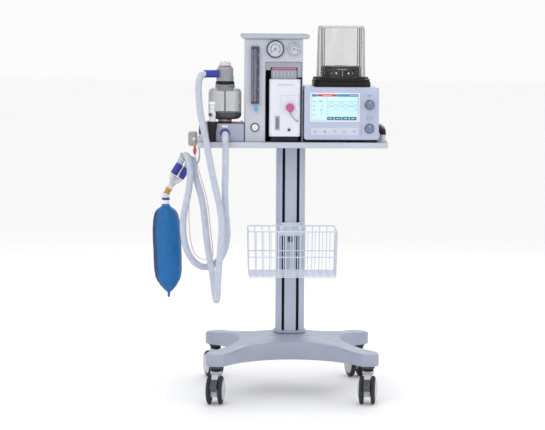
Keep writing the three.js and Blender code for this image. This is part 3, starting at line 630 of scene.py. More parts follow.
def y_frame():
    """The Y-piece's own axes: +Z up its middle, towards the hoses."""
    return Matrix.Translation((CHEST_X, CHEST_Y, CHEST_Z)) @ rotation(CHEST_TILT, "Y")


def make_cuffs():
    turn = Matrix.Rotation(math.atan2(-0.507, -0.862), 4, "Z") @ rotation(90, "Y")
    upper = placed(cuff(CUFF_R, 31, 84), Matrix.Translation((-240, -95, 1157)) @ turn)
    lower = placed(cuff(CUFF_R, 0.3, 33.5), on_front(-240, -149, 948))
    return (
        piece("upper_cuff", upper, CUFF_BLUE, replaces=["cuff_upper"]),
        piece("lower_cuff", lower, CUFF_BLUE, replaces=["cuff_lower"]),
    )


def make_y_piece():
    """Clear Y: two legs blended into a stem, a blue cuff on each leg, and a sampling port on the stem."""
    legs = []
    for side in (-1, 1):
        leg = smooth_path(
            [
                (0, 0, -12), (side * 2, 0, -4), (side * 9, 0, 8), (side * LEG_ASIDE, 0, 22),
                (side * LEG_ASIDE, 0, 30),
            ],
            2,
        )
        radii = [11.2 + 0.5 * math.sin(math.pi * i / (len(leg) - 1)) for i in range(len(leg))]
        legs.append(tube(leg, radii, 24))
    stem = lathe(
        [
            (0, -34), (9.6, -34), (11, -33), (11, -30), (10.2, -29), (10.2, -15), (11.4, -12), (11.4, -9),
            (0, -9),
        ],
        32,
    )
    web = slab_y([(-9, -2), (9, -2), (15, 20), (-15, 20)], -2, 2)
    port = placed(
        lathe([(0, 0), (4, 0), (4, 9), (3, 11), (0, 11)], 20),
        rotation(-90, "Y") @ Matrix.Translation((4, 0, 8)),
    )
    y_body = placed(merged(*legs, stem, web, port), y_frame())
    chest = piece("y_body", y_body, CLEAR_HAZY, bevel=0.5, replaces=["y_piece"])
    cuffs = []
    for side, name in ((-1, "y_cuff_left"), (1, "y_cuff_right")):
        form = placed(moved(cuff(CUFF_R, 24, 65.5), side * LEG_ASIDE, 0, 0), y_frame())
        cuffs.append(piece(name, form, CUFF_BLUE))
    return chest, cuffs


def make_elbow():
    """Amber elbow below the Y-piece, then a clear connector, a blue ring and a white band down to the bag."""
    start = y_frame() @ Vector((0, 0, -30))
    lip = y_frame() @ Vector((0, 0, -38))
    route = [start, lip, (-447, CHEST_Y, 727), (-449.6, CHEST_Y, 719)]
    path = smooth_path(route, 1.6)
    last = len(path) - 1
    radii = []
    for i in range(last + 1):
        near_end = min(i, last - i)
        radii.append(12.4 if near_end < 4 else 11.1 - 0.8 * min(1, (near_end - 3) / 4))
    piece("elbow", tube(path, radii, 32), AMBER, bevel=0.4, replaces=["bag_elbow"])
    down = Matrix.Translation((BAG_NECK_X, CHEST_Y, 0))
    socket = lathe(
        [
            (0, 703), (12.6, 703), (13, 704), (13, 708), (11.6, 710), (11.6, 716), (13, 718), (13, 722),
            (0, 722),
        ],
        40,
    )
    piece("elbow_socket", placed(socket, down), POPOFF_WHITE, bevel=0.3)
    blue = lathe([(0, 697), (13.6, 697), (14.2, 698), (14.2, 704.6), (13.6, 705.6), (0, 705.6)], 40)
    piece("elbow_ring", placed(blue, down), CUFF_BLUE, bevel=0.4)
    white = lathe(
        [
            (0, 683), (12.8, 683), (13.4, 684), (13.4, 688), (12.6, 689), (12.6, 692), (13.4, 693),
            (13.4, 697), (0, 697),
        ],
        40,
    )
    piece("elbow_band", placed(white, down), WHITE, bevel=0.3)


def make_sampling_line():
    path = smooth_path(SAMPLING_ROUTE, 3)
    line = piece("sampling_tube", tube(path, LINE_R, 12), LINE, replaces=["sampling_line"])
    luer = moved(
        lathe(
            [
                (0, 868), (2.8, 868), (3.6, 873), (5.6, 875), (6.4, 877), (6.4, 890), (5.6, 892),
                (4.2, 894), (4.2, 898), (3.2, 901), (0, 901),
            ],
            32,
        ),
        LUER_X, LUER_Y, 0,
    )
    grips = [moved(ring(6, 6.9, 878.5 + 3 * i, 880 + 3 * i, 32), LUER_X, LUER_Y, 0) for i in range(4)]
    red = piece("luer", merged(luer, *grips), LUER_RED, bevel=0.3)
    end = Vector(SAMPLING_ROUTE[-1])
    along = (end - Vector(SAMPLING_ROUTE[-2])).normalized().to_track_quat("Z", "Y").to_matrix().to_4x4()
    tip = placed(
        lathe([(0, -9), (2.4, -9), (4, -3), (4, 5), (2.6, 7), (0, 7)], 20), Matrix.Translation(end) @ along,
    )
    cap = piece("luer_end", tip, CLEAR_HAZY, bevel=0.4)


# Half width of the bag, as a part of its widest, at each part of the height above the tail.
BAG_WIDTHS = [
    (0, 0.1), (0.02, 0.24), (0.04, 0.36), (0.08, 0.57), (0.13, 0.78), (0.18, 0.91), (0.27, 0.985), (0.4, 1),
    (0.55, 1), (0.7, 0.985), (0.82, 0.93), (0.89, 0.85), (0.925, 0.76), (0.95, 0.62), (0.972, 0.42),
    (0.988, 0.29), (1, 0.25),
]
BAG_HALF_X, BAG_HALF_Y = 51.5, 44.5
BAG_FOOT_X = -441
BAG_LOW, BAG_HIGH = 360, 679
BAG_SIDES = 120
BAG_ROWS = 110


def bag_width(part):
    for (p0, w0), (p1, w1) in zip(BAG_WIDTHS, BAG_WIDTHS[1:]):
        if part <= p1:
            share = (part - p0) / (p1 - p0)
            share = share * share * (3 - 2 * share) * 0.35 + share * 0.65
            return w0 + (w1 - w0) * share
    return BAG_WIDTHS[-1][1]


def seam(turn, centre, width):
    """1 on the seam that runs down the bag at angle centre, in degrees, falling to 0 width away."""
    off = abs((math.degrees(turn) - centre + 180) % 360 - 180)
    return max(0, 1 - off / width) ** 1.5


def bag_radius(part, turn):
    """Half width of the bag at a height and angle: mould seams, a slack side panel and folds at the neck."""
    width = bag_width(part)
    body = min(1, part / 0.12) * min(1, (1 - part) / 0.06)
    ridges = 1.5 * seam(turn, -131, 6) + 0.8 * seam(turn, -36, 6) + seam(turn, 50, 6) + seam(turn, 138, 6)
    hollow_side = -0.05 * seam(turn, -152, 22) - 0.022 * seam(turn, -112, 20)
    pleats = max(0, (part - 0.76) / 0.24) * (1 - max(0, (part - 0.95) / 0.05))
    folds = -0.13 * pleats * (
        seam(turn, -100, 13) + seam(turn, -64, 13) + seam(turn, -160, 12) + seam(turn, 90, 20)
    )
    tail = max(0, (0.12 - part) / 0.12)
    gathers = 0.12 * tail * math.cos(6 * turn)
    slack = 0.03 * noise.noise(Vector((1.6 * math.cos(turn), 1.6 * math.sin(turn), 3.4 * part)))
    crease = 0.009 * noise.noise(Vector((5 * math.cos(turn), 5 * math.sin(turn), 11 * part + 4)))
    return width * (1 + body * (0.05 * ridges + hollow_side) + folds + gathers + body * (slack + crease))


def make_bag():
    rings = []
    for row in range(BAG_ROWS + 1):
        part = row / BAG_ROWS
        z = BAG_LOW + part * (BAG_HIGH - BAG_LOW)
        middle = BAG_FOOT_X + (BAG_NECK_X - BAG_FOOT_X) * part
        rings.append([])
        for k in range(BAG_SIDES):
            turn = 2 * math.pi * k / BAG_SIDES
            r = bag_radius(part, turn)
            rings[-1].append(
                (middle + BAG_HALF_X * r * math.cos(turn), CHEST_Y + BAG_HALF_Y * r * math.sin(turn), z)
            )
    bag = piece("bag", stacked(rings), bag_rubber(), sharp=80, replaces=["breathing_bag"])
    round_out = bag.modifiers.new("round", "SUBSURF")
    round_out.levels = round_out.render_levels = 1

    tail = moved(
        lathe([(0, 0), (3.6, 0), (4.8, 1.5), (4.8, 12), (5.4, 17), (8, 24), (0, 24)], 24), BAG_FOOT_X,
        CHEST_Y, 341.5,
    )
    neck = moved(
        lathe([(0, 0), (13.4, 0), (14.2, 1.6), (14.2, 5), (13.2, 6.5), (0, 6.5)], 32), BAG_NECK_X, CHEST_Y,
        675,
    )
    piece("bag_ends", merged(tail, neck), bag.data.materials[0], bevel=0.8)


def bag_rubber():
    """Blue rubber: a painted highlight on the ridges, and painted shade in the folds and on the side that
    faces -X.
    """
    material = soft_translucent("bag_rubber", (0.020, 0.150, 0.41), 0.36, subsurface=0.04)
    tree = material.node_tree
    bsdf = tree.nodes["Principled BSDF"]
    geometry = tree.nodes.new("ShaderNodeNewGeometry")
    mottled = bsdf.inputs["Base Color"].links[0].from_socket
    # Painted highlight: lighter blue where the bag's surface forms a ridge.
    ridge_highlight = ramp(tree, geometry.outputs["Pointiness"], 0.51, 0.57, 0, 0.6)
    lit = blend_colour(tree, ridge_highlight, mottled, (0.10, 0.34, 0.66))
    # Painted shade: darker blue in the bag's hollow folds.
    fold_shade = ramp(tree, geometry.outputs["Pointiness"], 0.44, 0.495, 0.7, 0)
    fold_shaded = blend_colour(tree, fold_shade, lit, (0.012, 0.055, 0.16))
    # Painted shade: darker blue on the side of the bag whose normal faces -X.
    split = tree.nodes.new("ShaderNodeSeparateXYZ")
    tree.links.new(tree.nodes.new("ShaderNodeTexCoord").outputs["Normal"], split.inputs[0])
    side = ramp(tree, split.outputs["X"], -0.70, -0.55, 1, 0)
    tree.links.new(blend_colour(tree, side, fold_shaded, (0.010, 0.044, 0.15)), bsdf.inputs["Base Color"])
    bsdf.inputs["Specular IOR Level"].default_value = 0.2
    return material


def make_circuit():
    upper, lower = make_cuffs()
    chest, (left_cuff, right_cuff) = make_y_piece()
    make_elbow()
    make_hose("hose_inspiratory", HOSE_INSPIRATORY_ROUTE)
    make_hose("hose_expiratory", HOSE_EXPIRATORY_ROUTE)
    make_sampling_line()
    make_bag()


make_circuit()

# ---------- base, column and casters ----------

BASE_Y = -18  # the base's middle stands in front of the column's axis
CASTER_X, CASTER_Y = 269, 230
CASTER_TURNS = {"fl": -8, "fr": -8, "rl": -163, "rr": -163}
WHEEL_R = 50
TRAIL = 28


def soft_min(a, b, blend):
    """The lower of two numbers, rounded off where they are nearly equal."""
    h = max(blend - abs(a - b), 0) / blend
    return min(a, b) - h * h * blend / 4


def stepped(value, points):
    """Height read off a line through (distance, height) points."""
    for (d0, h0), (d1, h1) in zip(points, points[1:]):
        if value <= d1:
            return h0 + (h1 - h0) * (value - d0) / (d1 - d0)
    return points[-1][1]


def cover_outline(steps):
    """Plan of the base cover: round tips over the casters, joined by hollow arcs that touch them."""
    tip_r, mid_x, mid_y = 38, 185, 122
    front_r = (CASTER_X ** 2 + (mid_y - CASTER_Y) ** 2 - tip_r ** 2) / (2 * (tip_r + CASTER_Y - mid_y))
    side_r = (CASTER_Y ** 2 + (mid_x - CASTER_X) ** 2 - tip_r ** 2) / (2 * (tip_r + CASTER_X - mid_x))
    front_y, side_x = mid_y + front_r, mid_x + side_r
    front_turn = math.degrees(math.atan2(front_y - CASTER_Y, CASTER_X))
    side_turn = math.degrees(math.atan2(CASTER_Y, side_x - CASTER_X))
    outline = []
    for turn, sign in ((0, 1), (180, -1)):
        outline += arc(0, -sign * front_y, front_r, 180 + turn - front_turn, front_turn + turn, 2 * steps)
        outline += arc(
            sign * CASTER_X, -sign * CASTER_Y, tip_r, turn + front_turn - 180, turn + 180 - side_turn,
            steps,
        )[1:-1]
        outline += arc(sign * side_x, 0, side_r, turn + 180 + side_turn, turn + 180 - side_turn, 2 * steps)
        outline += arc(
            sign * CASTER_X, sign * CASTER_Y, tip_r, turn + side_turn - 180, turn + 180 - front_turn, steps,
        )[1:-1]
    return outline


def make_base():
    """Domed moulded cover: a flat crown round the post, soft creases down each leg, and rolled edges."""
    outline = cover_outline(26)
    roof_x = [(0, 213), (60, 213), (CASTER_X, 179), (400, 176)]
    roof_y = [(0, 213), (62, 213), (122, 196), (CASTER_Y, 179), (400, 176)]
    roll, skirt_low = 9, 133  # radius of the rolled edge, and height of its foot
    rings = []

    def add_ring(part, inset, drop=None, z=skirt_low):
        """The outline at part of its reach, pulled in by inset: drop under the roof, or else at height z."""
        rings.append([])
        for x, y in outline:
            far = math.hypot(x, y)
            scale = part * (far - inset) / far
            px, py = x * scale, y * scale
            if drop is not None:
                z = soft_min(stepped(abs(px), roof_x), stepped(abs(py), roof_y), roll) - drop
            rings[-1].append((px, py + BASE_Y, z))

    for part in (0.16, 0.28, 0.4, 0.5, 0.6, 0.68, 0.76, 0.83, 0.89, 0.94):
        add_ring(part, roll, 0)
    for step in range(7):
        turn = math.radians(15 * step)
        add_ring(1, roll * (1 - math.sin(turn)), roll * (1 - math.cos(turn)))
    for inset, rise in ((0.4, 2.5), (2.4, 0), (6, 0), (6, 20)):
        add_ring(1, inset, z=skirt_low + rise)
    piece("base_shell", stacked(rings), BASE_SHELL, sharp=50, replaces=["base_cover"])
    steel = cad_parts["base_frame"]
    steel.data.materials.clear()
    steel.data.materials.append(FRAME_STEEL)
    soften(steel, 1.2)


def make_column():
    """Extruded post with two full-length slots front and back, and black inserts in them."""
    corners = [p for p in rounded(-52.5, 52.5, -35, 35, 24, 12) if abs(p[0]) > 31]
    right = [p for p in corners if p[0] > 0]
    left = [p for p in corners if p[0] < 0]
    notches = [(31, 34.9), (31, 27), (21, 27), (21, 35), (-21, 35), (-21, 27), (-31, 27), (-31, 34.9)]
    outline = right + notches + left + [(-x, -y) for x, y in notches]
    piece("post", prism(outline, 167, 912), COLUMN_ALLOY, bevel=0.8, replaces=["column"])
    inserts = []
    for x in (-26, 26):
        for y in (-28.4, 28.4):
            inserts.append(brick(x - 4.9, x + 4.9, y - 0.9, y + 0.9, 170, 911))
            inserts.append(brick(x - 1.2, x + 1.2, y * 1.05 - 0.8, y * 1.05 + 0.8, 170, 911))
    piece("slot_inserts", merged(*inserts), SLOT_BLACK, bevel=0.3)
    outer = rounded(-58.5, 58.5, -41, 41, 28, 10)
    steps = [(213.2, 1.0), (219.5, 1.0), (222, 0.975)]
    foot = stacked([[(x * f, y * f, z) for x, y in outer] for z, f in steps])
    piece("post_foot", foot, BASE_SHELL, bevel=0.8, replaces=["column_foot"])


def arc(x, y, r, start, end, steps):
    turns = [math.radians(start + (end - start) * i / steps) for i in range(steps + 1)]
    return [(x + r * math.cos(t), y + r * math.sin(t)) for t in turns]


def make_caster(corner, x, y):
    """Twin-wheel caster: black collar, pale fork, thin wheels with domed caps, a pedal on the front two."""
    turn = Matrix.Translation((x, y, 0)) @ rotation(CASTER_TURNS[corner], "Z")
    fork_body = f"caster_{corner}"
    collar = lathe([(0, 112), (18, 112), (19.5, 113.6), (19.5, 127.6), (18.4, 129.6), (0, 129.6)], 48)
    grooves = [ring(19, 20.3, 115.5 + 4 * i, 117.5 + 4 * i, 48) for i in range(3)]
    piece(f"{corner}_collar", placed(merged(collar, *grooves), turn), BLACK, fork_body, bevel=0.6)

    hood = [(24, 110.5), (23, 104), (10, 97), (-6, 92)]
    hood += arc(-TRAIL, WHEEL_R, 17, 20, -200, 12)
    hood += [(-48, 72), (-52, 84), (-46, 96), (-34, 104), (-18, 110.5)]
    web = slab_x(hood, -11.6, 11.6)
    crown = lathe([(0, 92), (10, 92), (17, 99), (20.6, 105), (20.6, 110), (18.6, 112.4), (0, 112.4)], 48)
    low_block = slab_x([(-62, 34), (-58, 29), (-26, 27), (-20, 34), (-20, 66), (-62, 62)], -11.6, 11.6)
    piece(f"{corner}_fork", placed(merged(web, crown, low_block), turn), CASTER_GREY, fork_body,
          bevel=1.4, segments=3, replaces=[f"caster_{corner}_fork"])

    wheel_body = f"caster_{corner}_wheel_pair"
    treads, caps = [], []
    for side in (-1, 1):
        out = Matrix.Translation((0, -TRAIL, WHEEL_R)) @ rotation(90 * side, "Y")
        tread = lathe(
            [
                (34, 13.4), (45, 13.4), (48.4, 14.6), (49.8, 17.4), (50, 20.6), (49.4, 23.6), (47.4, 26),
                (43.6, 27.6), (39, 28.2), (36.4, 28), (34, 27), (34, 13.4),
            ],
            96,
        )
        inner = lathe([(0, 14.2), (36, 14.2), (36, 20), (0, 20)], 56)
        cap = lathe(
            [
                (0, 19), (36.6, 19), (36.6, 28.4), (35.6, 29.6), (34.4, 29.4), (33, 30.2), (28, 32.4),
                (21, 34.2), (13.6, 35), (12.6, 34.6), (11.6, 35), (0, 35.4),
            ],
            72,
        )
        treads += [placed(tread, turn @ out), placed(inner, turn @ out)]
        caps.append(placed(cap, turn @ out))
        for angle in range(0, 360, 60):
            spoke = placed(brick(17, 31, -0.9, 0.9, 29, 32.4), rotation(angle, "Z"))
            caps.append(placed(spoke, turn @ out))
    axle = disc(5.6, -15, 15, 24)
    axle = placed(axle, turn @ Matrix.Translation((0, -TRAIL, WHEEL_R)) @ rotation(90, "Y"))
    piece(f"{corner}_treads", merged(*treads), TREAD, wheel_body, bevel=0.4,
          replaces=[f"caster_{corner}_wheels"])
    piece(f"{corner}_caps", merged(*caps, axle), CASTER_GREY, wheel_body, bevel=0.4)

    if corner[0] == "f":
        blade = [
            (-50, 79), (-60, 76), (-78, 69), (-92, 66), (-95.5, 68), (-94, 73), (-76, 83), (-60, 92),
            (-50, 90),
        ]
        treadle = [slab_x(blade, -11.2, 11.2)]
        treadle.append(
            slab_x([(-90, 68), (-82, 54), (-76, 52), (-70, 56), (-66, 74), (-78, 76)], -10.6, 10.6)
        )
        for i in range(5):
            back, low = 5 * i, 2.9 * i
            rib = [
                (back - 90, low + 71.6), (back - 88, low + 72.8), (back - 89, low + 75),
                (back - 91, low + 73.8),
            ]
            treadle.append(slab_x(rib, -9.5, 9.5))
        piece(
            f"{corner}_pedal", placed(merged(*treadle), turn), PEDAL_GREY, f"caster_{corner}_brake_pedal",
            bevel=1.2, replaces=[f"caster_{corner}_pedal"],
        )


make_base()
make_column()
for CORNER, SIDE_X, SIDE_Y in (("fl", -1, -1), ("fr", 1, -1), ("rl", -1, 1), ("rr", 1, 1)):
    make_caster(CORNER, SIDE_X * CASTER_X, BASE_Y + SIDE_Y * CASTER_Y)

# ---------- shelf, handles and hook ----------

SHELF_X, SHELF_Y = 338, 185  # half its width and half its depth
SHELF_LOW, SHELF_TOP = 898, 918
SHELF_SHEET_DEPTH = 3
STAND_Z = 918.3  # foot of what stands on the shelf


def make_shelf():
    """Folded sheet tray top: a flat deck, turned-down edges, ribs below and screws along the front."""
    in_x, in_y = SHELF_X - SHELF_SHEET_DEPTH, SHELF_Y - SHELF_SHEET_DEPTH
    plan = rounded(-SHELF_X, SHELF_X, -SHELF_Y, SHELF_Y, 22, 8)
    deck = prism(plan, 912, SHELF_TOP)
    rim = hollow(plan, rounded(-in_x, in_x, -in_y, in_y, 19, 8), SHELF_LOW, 914)
    ribs = [brick(-300, 300, y - 1.5, y + 1.5, 899, 912) for y in (-110, 0, 110)]
    ribs += [brick(x - 1.5, x + 1.5, -178, 178, 899, 912) for x in (-190, 190)]
    piece("shelf_tray", merged(deck, rim), SHELF_SHEET, bevel=1.6, segments=3, replaces=["shelf"])
    piece("shelf_ribs", merged(*ribs), SHELF_SHEET, bevel=0.5)
    screws = []
    for x in (-300, -60, 60, 300):
        screws.append(
            placed(
                lathe([(0, 0), (3.6, 0), (3.6, 0.7), (2.6, 1.5), (0, 1.8)], 16), on_front(x, -184.6, 906),
            )
        )
    piece("shelf_screws", merged(*screws), STEEL, bevel=0.2)


def make_handle(name, x):
    """Black arch on two light posts, each with a round flange screwed to the shelf."""
    front, back, top, foot = -140, 70, 975 - 11, 918.5
    middle, reach = (front + back) / 2, (back - front) / 2
    route = [(x, front, foot + 24)]
    for i in range(1, 18):
        turn = math.pi * i / 18
        along = math.copysign(abs(math.cos(turn)) ** 0.55, math.cos(turn))
        rise = foot + 8 + (top - foot - 8) * math.sin(turn) ** 0.55
        if rise > foot + 24:
            route.append((x, middle - reach * along, rise))
    route.append((x, back, foot + 24))
    grip = tube(smooth_path(route, 3), 11, 28)
    piece(name + "_grip", grip, BLACK, bevel=0.8, replaces=[name])
    posts, screws = [], []
    for y in (front, back):
        posts.append(
            moved(
                lathe(
                    [
                        (0, 0), (15.5, 0), (16, 0.6), (16, 3.4), (14.8, 4.4), (11.2, 5), (9.6, 7),
                        (9.6, 21), (11.4, 22.5), (11.4, 26), (0, 26),
                    ],
                    40,
                ),
                x, y, foot,
            )
        )
        for turn in range(45, 360, 90):
            sx, sy = x + 13 * math.cos(math.radians(turn)), y + 13 * math.sin(math.radians(turn))
            screws.append(
                moved(lathe([(0, 3.6), (1.7, 3.6), (1.7, 4.6), (1.2, 5), (0, 5)], 12), sx, sy, foot)
            )
    piece(name + "_posts", merged(*posts), CASTER_GREY, bevel=0.4)
    piece(name + "_screws", merged(*screws), STEEL)


def make_hook():
    block = slab_y(rounded(-371, -338.5, 899, 949, 9, 8), -110, -50)
    piece("gas_block", block, BEIGE, bevel=1.6, segments=3, replaces=["hook_block"])
    port = placed(
        lathe([(0, 0), (6.4, 0), (6.4, 2.6), (4.6, 3.2), (4.6, 7), (3, 8), (0, 8)], 28),
        on_front(-349, -109.8, 924),
    )
    piece("gas_block_port", port, WHITE, bevel=0.3)
    bolts = [
        placed(lathe([(0, 0), (3, 0), (3, 1.2), (2.2, 2), (0, 2)], 6), on_front(bx, -109.8, bz)) for bx,
        bz in ((-364, 906), (-364, 942), (-346, 942))
    ]
    piece("gas_block_bolts", merged(*bolts), STEEL, bevel=0.2)
    route = [
        (-331, -85, 897.5), (-331, -85, 880), (-331, -85, 856), (-335, -85, 840), (-346, -84, 830),
        (-358, -84, 831.5), (-372, -84, 839), (-386, -86, 847), (-395, -87, 858), (-396, -88, 874),
    ]
    path = smooth_path(route, 2.5)
    radii = [3.0] * len(path)
    radii[-3:] = [3.9, 4.1, 3.0]
    rod = tube(path, radii, 18)
    nut = moved(lathe([(0, -8), (7, -8), (7.6, -7), (7.6, -1), (7, 0), (0, 0)], 6), -331, -85, 897.6)
    piece("hook", merged(rod, nut), STEEL, bevel=0.3, replaces=["hose_hook"])


make_shelf()
make_handle("handle_left", -322)
make_handle("handle_right", 322)
make_hook()

# ---------- ventilator and bellows ----------

VENT_FRONT = -175
VENT_BOX = (39, 304, 927, 1113)  # left, right, foot and top of the case
SCREEN_BOX = (64, 231, 996, 1090)


def panel(x0, x1, z0, z1, y_front, depth, r=0.0):
    """A flat plate on a front panel: from y_front back by depth, with corners of radius r."""
    outline = rounded(x0, x1, z0, z1, r, 5) if r else [(x0, z0), (x1, z0), (x1, z1), (x0, z1)]
    return slab_y(outline, y_front, y_front + depth)


def make_vent_case():
    """Case with a rounded front frame, screen bezel, key strip, feet, side vents and a rear grille."""
    case = slab_y(rounded(*VENT_BOX, 8, 8), -171.5, 75)
    piece("vent_shell", case, VENT_PLASTIC, bevel=3.0, segments=4, replaces=["vent_case"])
    frame_form = hollow(rounded(40, 303, 928, 1112, 8, 8), rounded(*SCREEN_BOX, 2, 8), 0, 5.2)
    front = placed(frame_form, on_front(0, -171, 0))
    piece("vent_front", front, VENT_PLASTIC, bevel=1.4, segments=3)
    bezel = hollow(rounded(60, 235, 992, 1094, 4, 8), rounded(*SCREEN_BOX, 2, 8), 0, 4.4)
    piece("screen_bezel", placed(bezel, on_front(0, -173, 0)), WHITE, bevel=0.6)
    slim = [panel(240.5, 241.4, 940, 984, -176.8, 1.4)]
    slim += [panel(262, 278, 1085, 1086.4, -176.6, 1.2), panel(265, 275, 1081, 1082, -176.6, 1.2)]
    slim += [panel(x, x + 0.9, 996, 1016, -176.6, 1.2) for x in (264, 270, 276)]
    slim += [placed(ring(2.2, 3.0, 0, 0.9, 20), on_front(x, -175.8, 1004)) for x in (261, 281)]
    piece("vent_marks", merged(*slim), KNOB_GREY)
    pad = panel(62, 232, 944, 971, -177.2, 2.6, 4)
    piece("keypad", pad, VENT_LIGHT, bevel=0.6)
    keys, icons = [], []
    for i in range(5):
        x = 78 + 34.5 * i
        keys.append(panel(x - 11, x + 11, 949, 966, -178.2, 1.6, 5))
        icons += key_icon(i, x, 957.5)
    piece("keys", merged(*keys), VENT_LIGHT, bevel=0.7)
    piece("key_icons", merged(*icons), KNOB_GREY)
    feet = [
        moved(lathe([(0, -9), (10, -9), (12, -7), (12, 0.5), (0, 0.5)], 32), x, y, 927) for x in (54, 289)
        for y in (-160, 60)
    ]
    rails = [brick(44, 299, -166, -150, 921.5, 927.2), brick(44, 299, 50, 66, 921.5, 927.2)]
    piece("vent_feet", merged(*feet, *rails), BLACK, bevel=0.8)
    # Painted shade: black slots stand in for the dark inside the side vent openings.
    slots = []
    for i in range(12):
        slots.append(slab_x(rounded(-60 + 9 * i, -56 + 9 * i, 975, 1065, 1.9, 4), 303.6, 304.6))
    piece("side_vents", merged(*slots), BLACK)
    # Painted shade: black bars stand in for the dark behind the rear grille's openings.
    rear = [panel(60 + 12 * i, 65 + 12 * i, 1000, 1080, 74.6, 0.9, 2.4) for i in range(14)]
    socket = merged(
        panel(255, 289, 950, 978, 74.4, 2.4, 3), placed(disc(6, 0, 4, 24), placed_back(80, 75, 962)),
    )
    piece("rear_vents", merged(*rear), BLACK)
    piece("rear_socket", socket, BLACK, bevel=0.5)


def placed_back(x, y, z):
    """Places a form made along +Z so that it stands out backwards, towards +Y."""
    return Matrix.Translation((x, y, z)) @ rotation(-90, "X")


def key_icon(kind, x, z):
    """A small line sign on a key: bars, a bell, a bar with an arrow, a square and a ring."""
    y, thick = -178.7, 0.7
    if kind == 0:
        return [
            panel(x - 5 + 3.4 * i, x - 3.4 + 3.4 * i, z - 3, z + 0.6 + 1.2 * i, y, thick) for i in range(3)
        ]
    if kind == 1:
        bell = slab_y(
            [
                (x - 4, z - 2.6), (x + 4, z - 2.6), (x + 2.6, z + 1), (x + 1.4, z + 3), (x - 1.4, z + 3),
                (x - 2.6, z + 1),
            ],
            y, y + thick,
        )
        return [bell, panel(x - 1, x + 1, z - 4, z - 3, y, thick)]
    if kind == 2:
        tip = slab_y([(x + 1, z - 3), (x + 4.6, z), (x + 1, z + 3)], y, y + thick)
        return [tip, panel(x - 4.6, x + 1, z - 0.7, z + 0.7, y, thick)]
    if kind == 3:
        sides = [panel(x - 4, x + 4, z + k, z + k + 0.9, y, thick) for k in (-3.4, 2.5)]
        return sides + [panel(x + k, x + k + 0.9, z - 3.4, z + 3.4, y, thick) for k in (-4, 3.1)]
    return [
        placed(ring(2.6, 3.6, 0, thick, 24), on_front(x, y + thick, z)),
        panel(x - 0.5, x + 0.5, z, z + 4.4, y, thick),
    ]


SCREEN_GLASS = surface("screen_field", (0.60, 0.86, 0.93), 0.2, bump=0.01, vary=0.03, wear=0)
SCREEN_BLUE = surface("screen_blue", (0.045, 0.28, 0.62), 0.25, wear=0)
SCREEN_RED = surface("screen_red", (0.70, 0.03, 0.04), 0.25, wear=0)
SCREEN_TEAL = surface("screen_teal", (0.02, 0.18, 0.24), 0.25, wear=0)
SCREEN_TEXT = surface("screen_grey", (0.16, 0.26, 0.33), 0.3, wear=0)
SCREEN_WHITE = surface("screen_white", (0.86, 0.93, 0.96), 0.2, wear=0)

# The strokes of each digit as (x0, z0, x1, z1) on a unit cell one wide and two high.
SEGMENTS = {
    "a": (0, 1.8, 1, 2), "b": (0.8, 1, 1, 2), "c": (0.8, 0, 1, 1), "d": (0, 0, 1, 0.2),
    "e": (0, 0, 0.2, 1), "f": (0, 1, 0.2, 2), "g": (0, 0.9, 1, 1.1),
}
DIGITS = {
    "0": "abcdef", "1": "bc", "2": "abged", "3": "abgcd", "4": "fgbc", "5": "afgcd",
    "6": "afgedc", "7": "abc", "8": "abcdefg", "9": "gfabcd",
}


def digits(text, x, z, height, y, thick=0.3):
    """Numbers made of bars, standing on (x, z) and facing the front."""
    bars, unit = [], height / 2
    for sign in text:
        for key in DIGITS[sign]:
            x0, z0, x1, z1 = (v * unit for v in SEGMENTS[key])
            bars.append(panel(x + x0 * 0.9, x + x1 * 0.9, z + z0, z + z1, y, thick))
        x += unit * 1.45
    return bars


def make_screen():
    """The display's own glass with its header, alarm box, readings, traces and soft keys."""
    y = -173.4
    piece("screen_glass", panel(64.2, 230.8, 996.2, 1089.8, y, 1.2), SCREEN_GLASS, bevel=0.3,
          replaces=["vent_screen"])
    y -= 0.25
    header = [panel(66, 84, 1080, 1088.5, y, 0.3), panel(156, 229, 1080, 1088.5, y, 0.3)]
    piece("screen_header", merged(*header), SCREEN_BLUE)
    piece("screen_alarm", panel(85, 155, 1080.6, 1088, y, 0.3, 1.5), SCREEN_RED)
    tabs = [panel(120 + 26.5 * i, 144.5 + 26.5 * i, 998, 1009, y, 0.3, 1.5) for i in range(4)]
    piece("screen_tabs", merged(*tabs), SCREEN_TEAL)
    lines = [panel(122, 229, 1030 + 16 * i, 1030.5 + 16 * i, y, 0.3) for i in range(3)]
    lines += [panel(120, 120.6, 1011, 1078, y, 0.3)]
    for i, (x, text) in enumerate(((90, "400"), (98, "12"), (95, "20"), (98, "5"))):
        lines += digits(text, x, 1060 - 15.5 * i, 6.5, y)
        lines += [
            panel(70, 80, 1061 - 15.5 * i, 1062 - 15.5 * i, y, 0.3),
            panel(70, 76, 1064 - 15.5 * i, 1065 - 15.5 * i, y, 0.3),
        ]
    piece("screen_readings", merged(*lines), SCREEN_TEXT)
    bright = [panel(200, 226, 1083.6, 1084.8, y - 0.2, 0.2), panel(104, 136, 1083.8, 1084.8, y - 0.2, 0.2)]
    bright += [panel(126 + 26.5 * i, 138 + 26.5 * i, 1002.6, 1004.4, y - 0.2, 0.2) for i in range(4)]
    traces = []
    for z, height in ((1036, 11), (1050, 9)):
        points = []
        for i in range(60):
            phase = (i % 20) / 20
            rise = min(1, phase * 5) if phase < 0.45 else math.exp(-9 * (phase - 0.45))
            points.append((124 + 1.75 * i, z + height * rise))
        for (xa, za), (xb, zb) in zip(points, points[1:]):
            traces.append(slab_y([(xa, za), (xb, zb), (xb, zb + 0.8), (xa, za + 0.8)], y - 0.1, y))
    piece("screen_bright", merged(*bright), SCREEN_WHITE)
    piece("screen_traces", merged(*traces), SCREEN_BLUE)


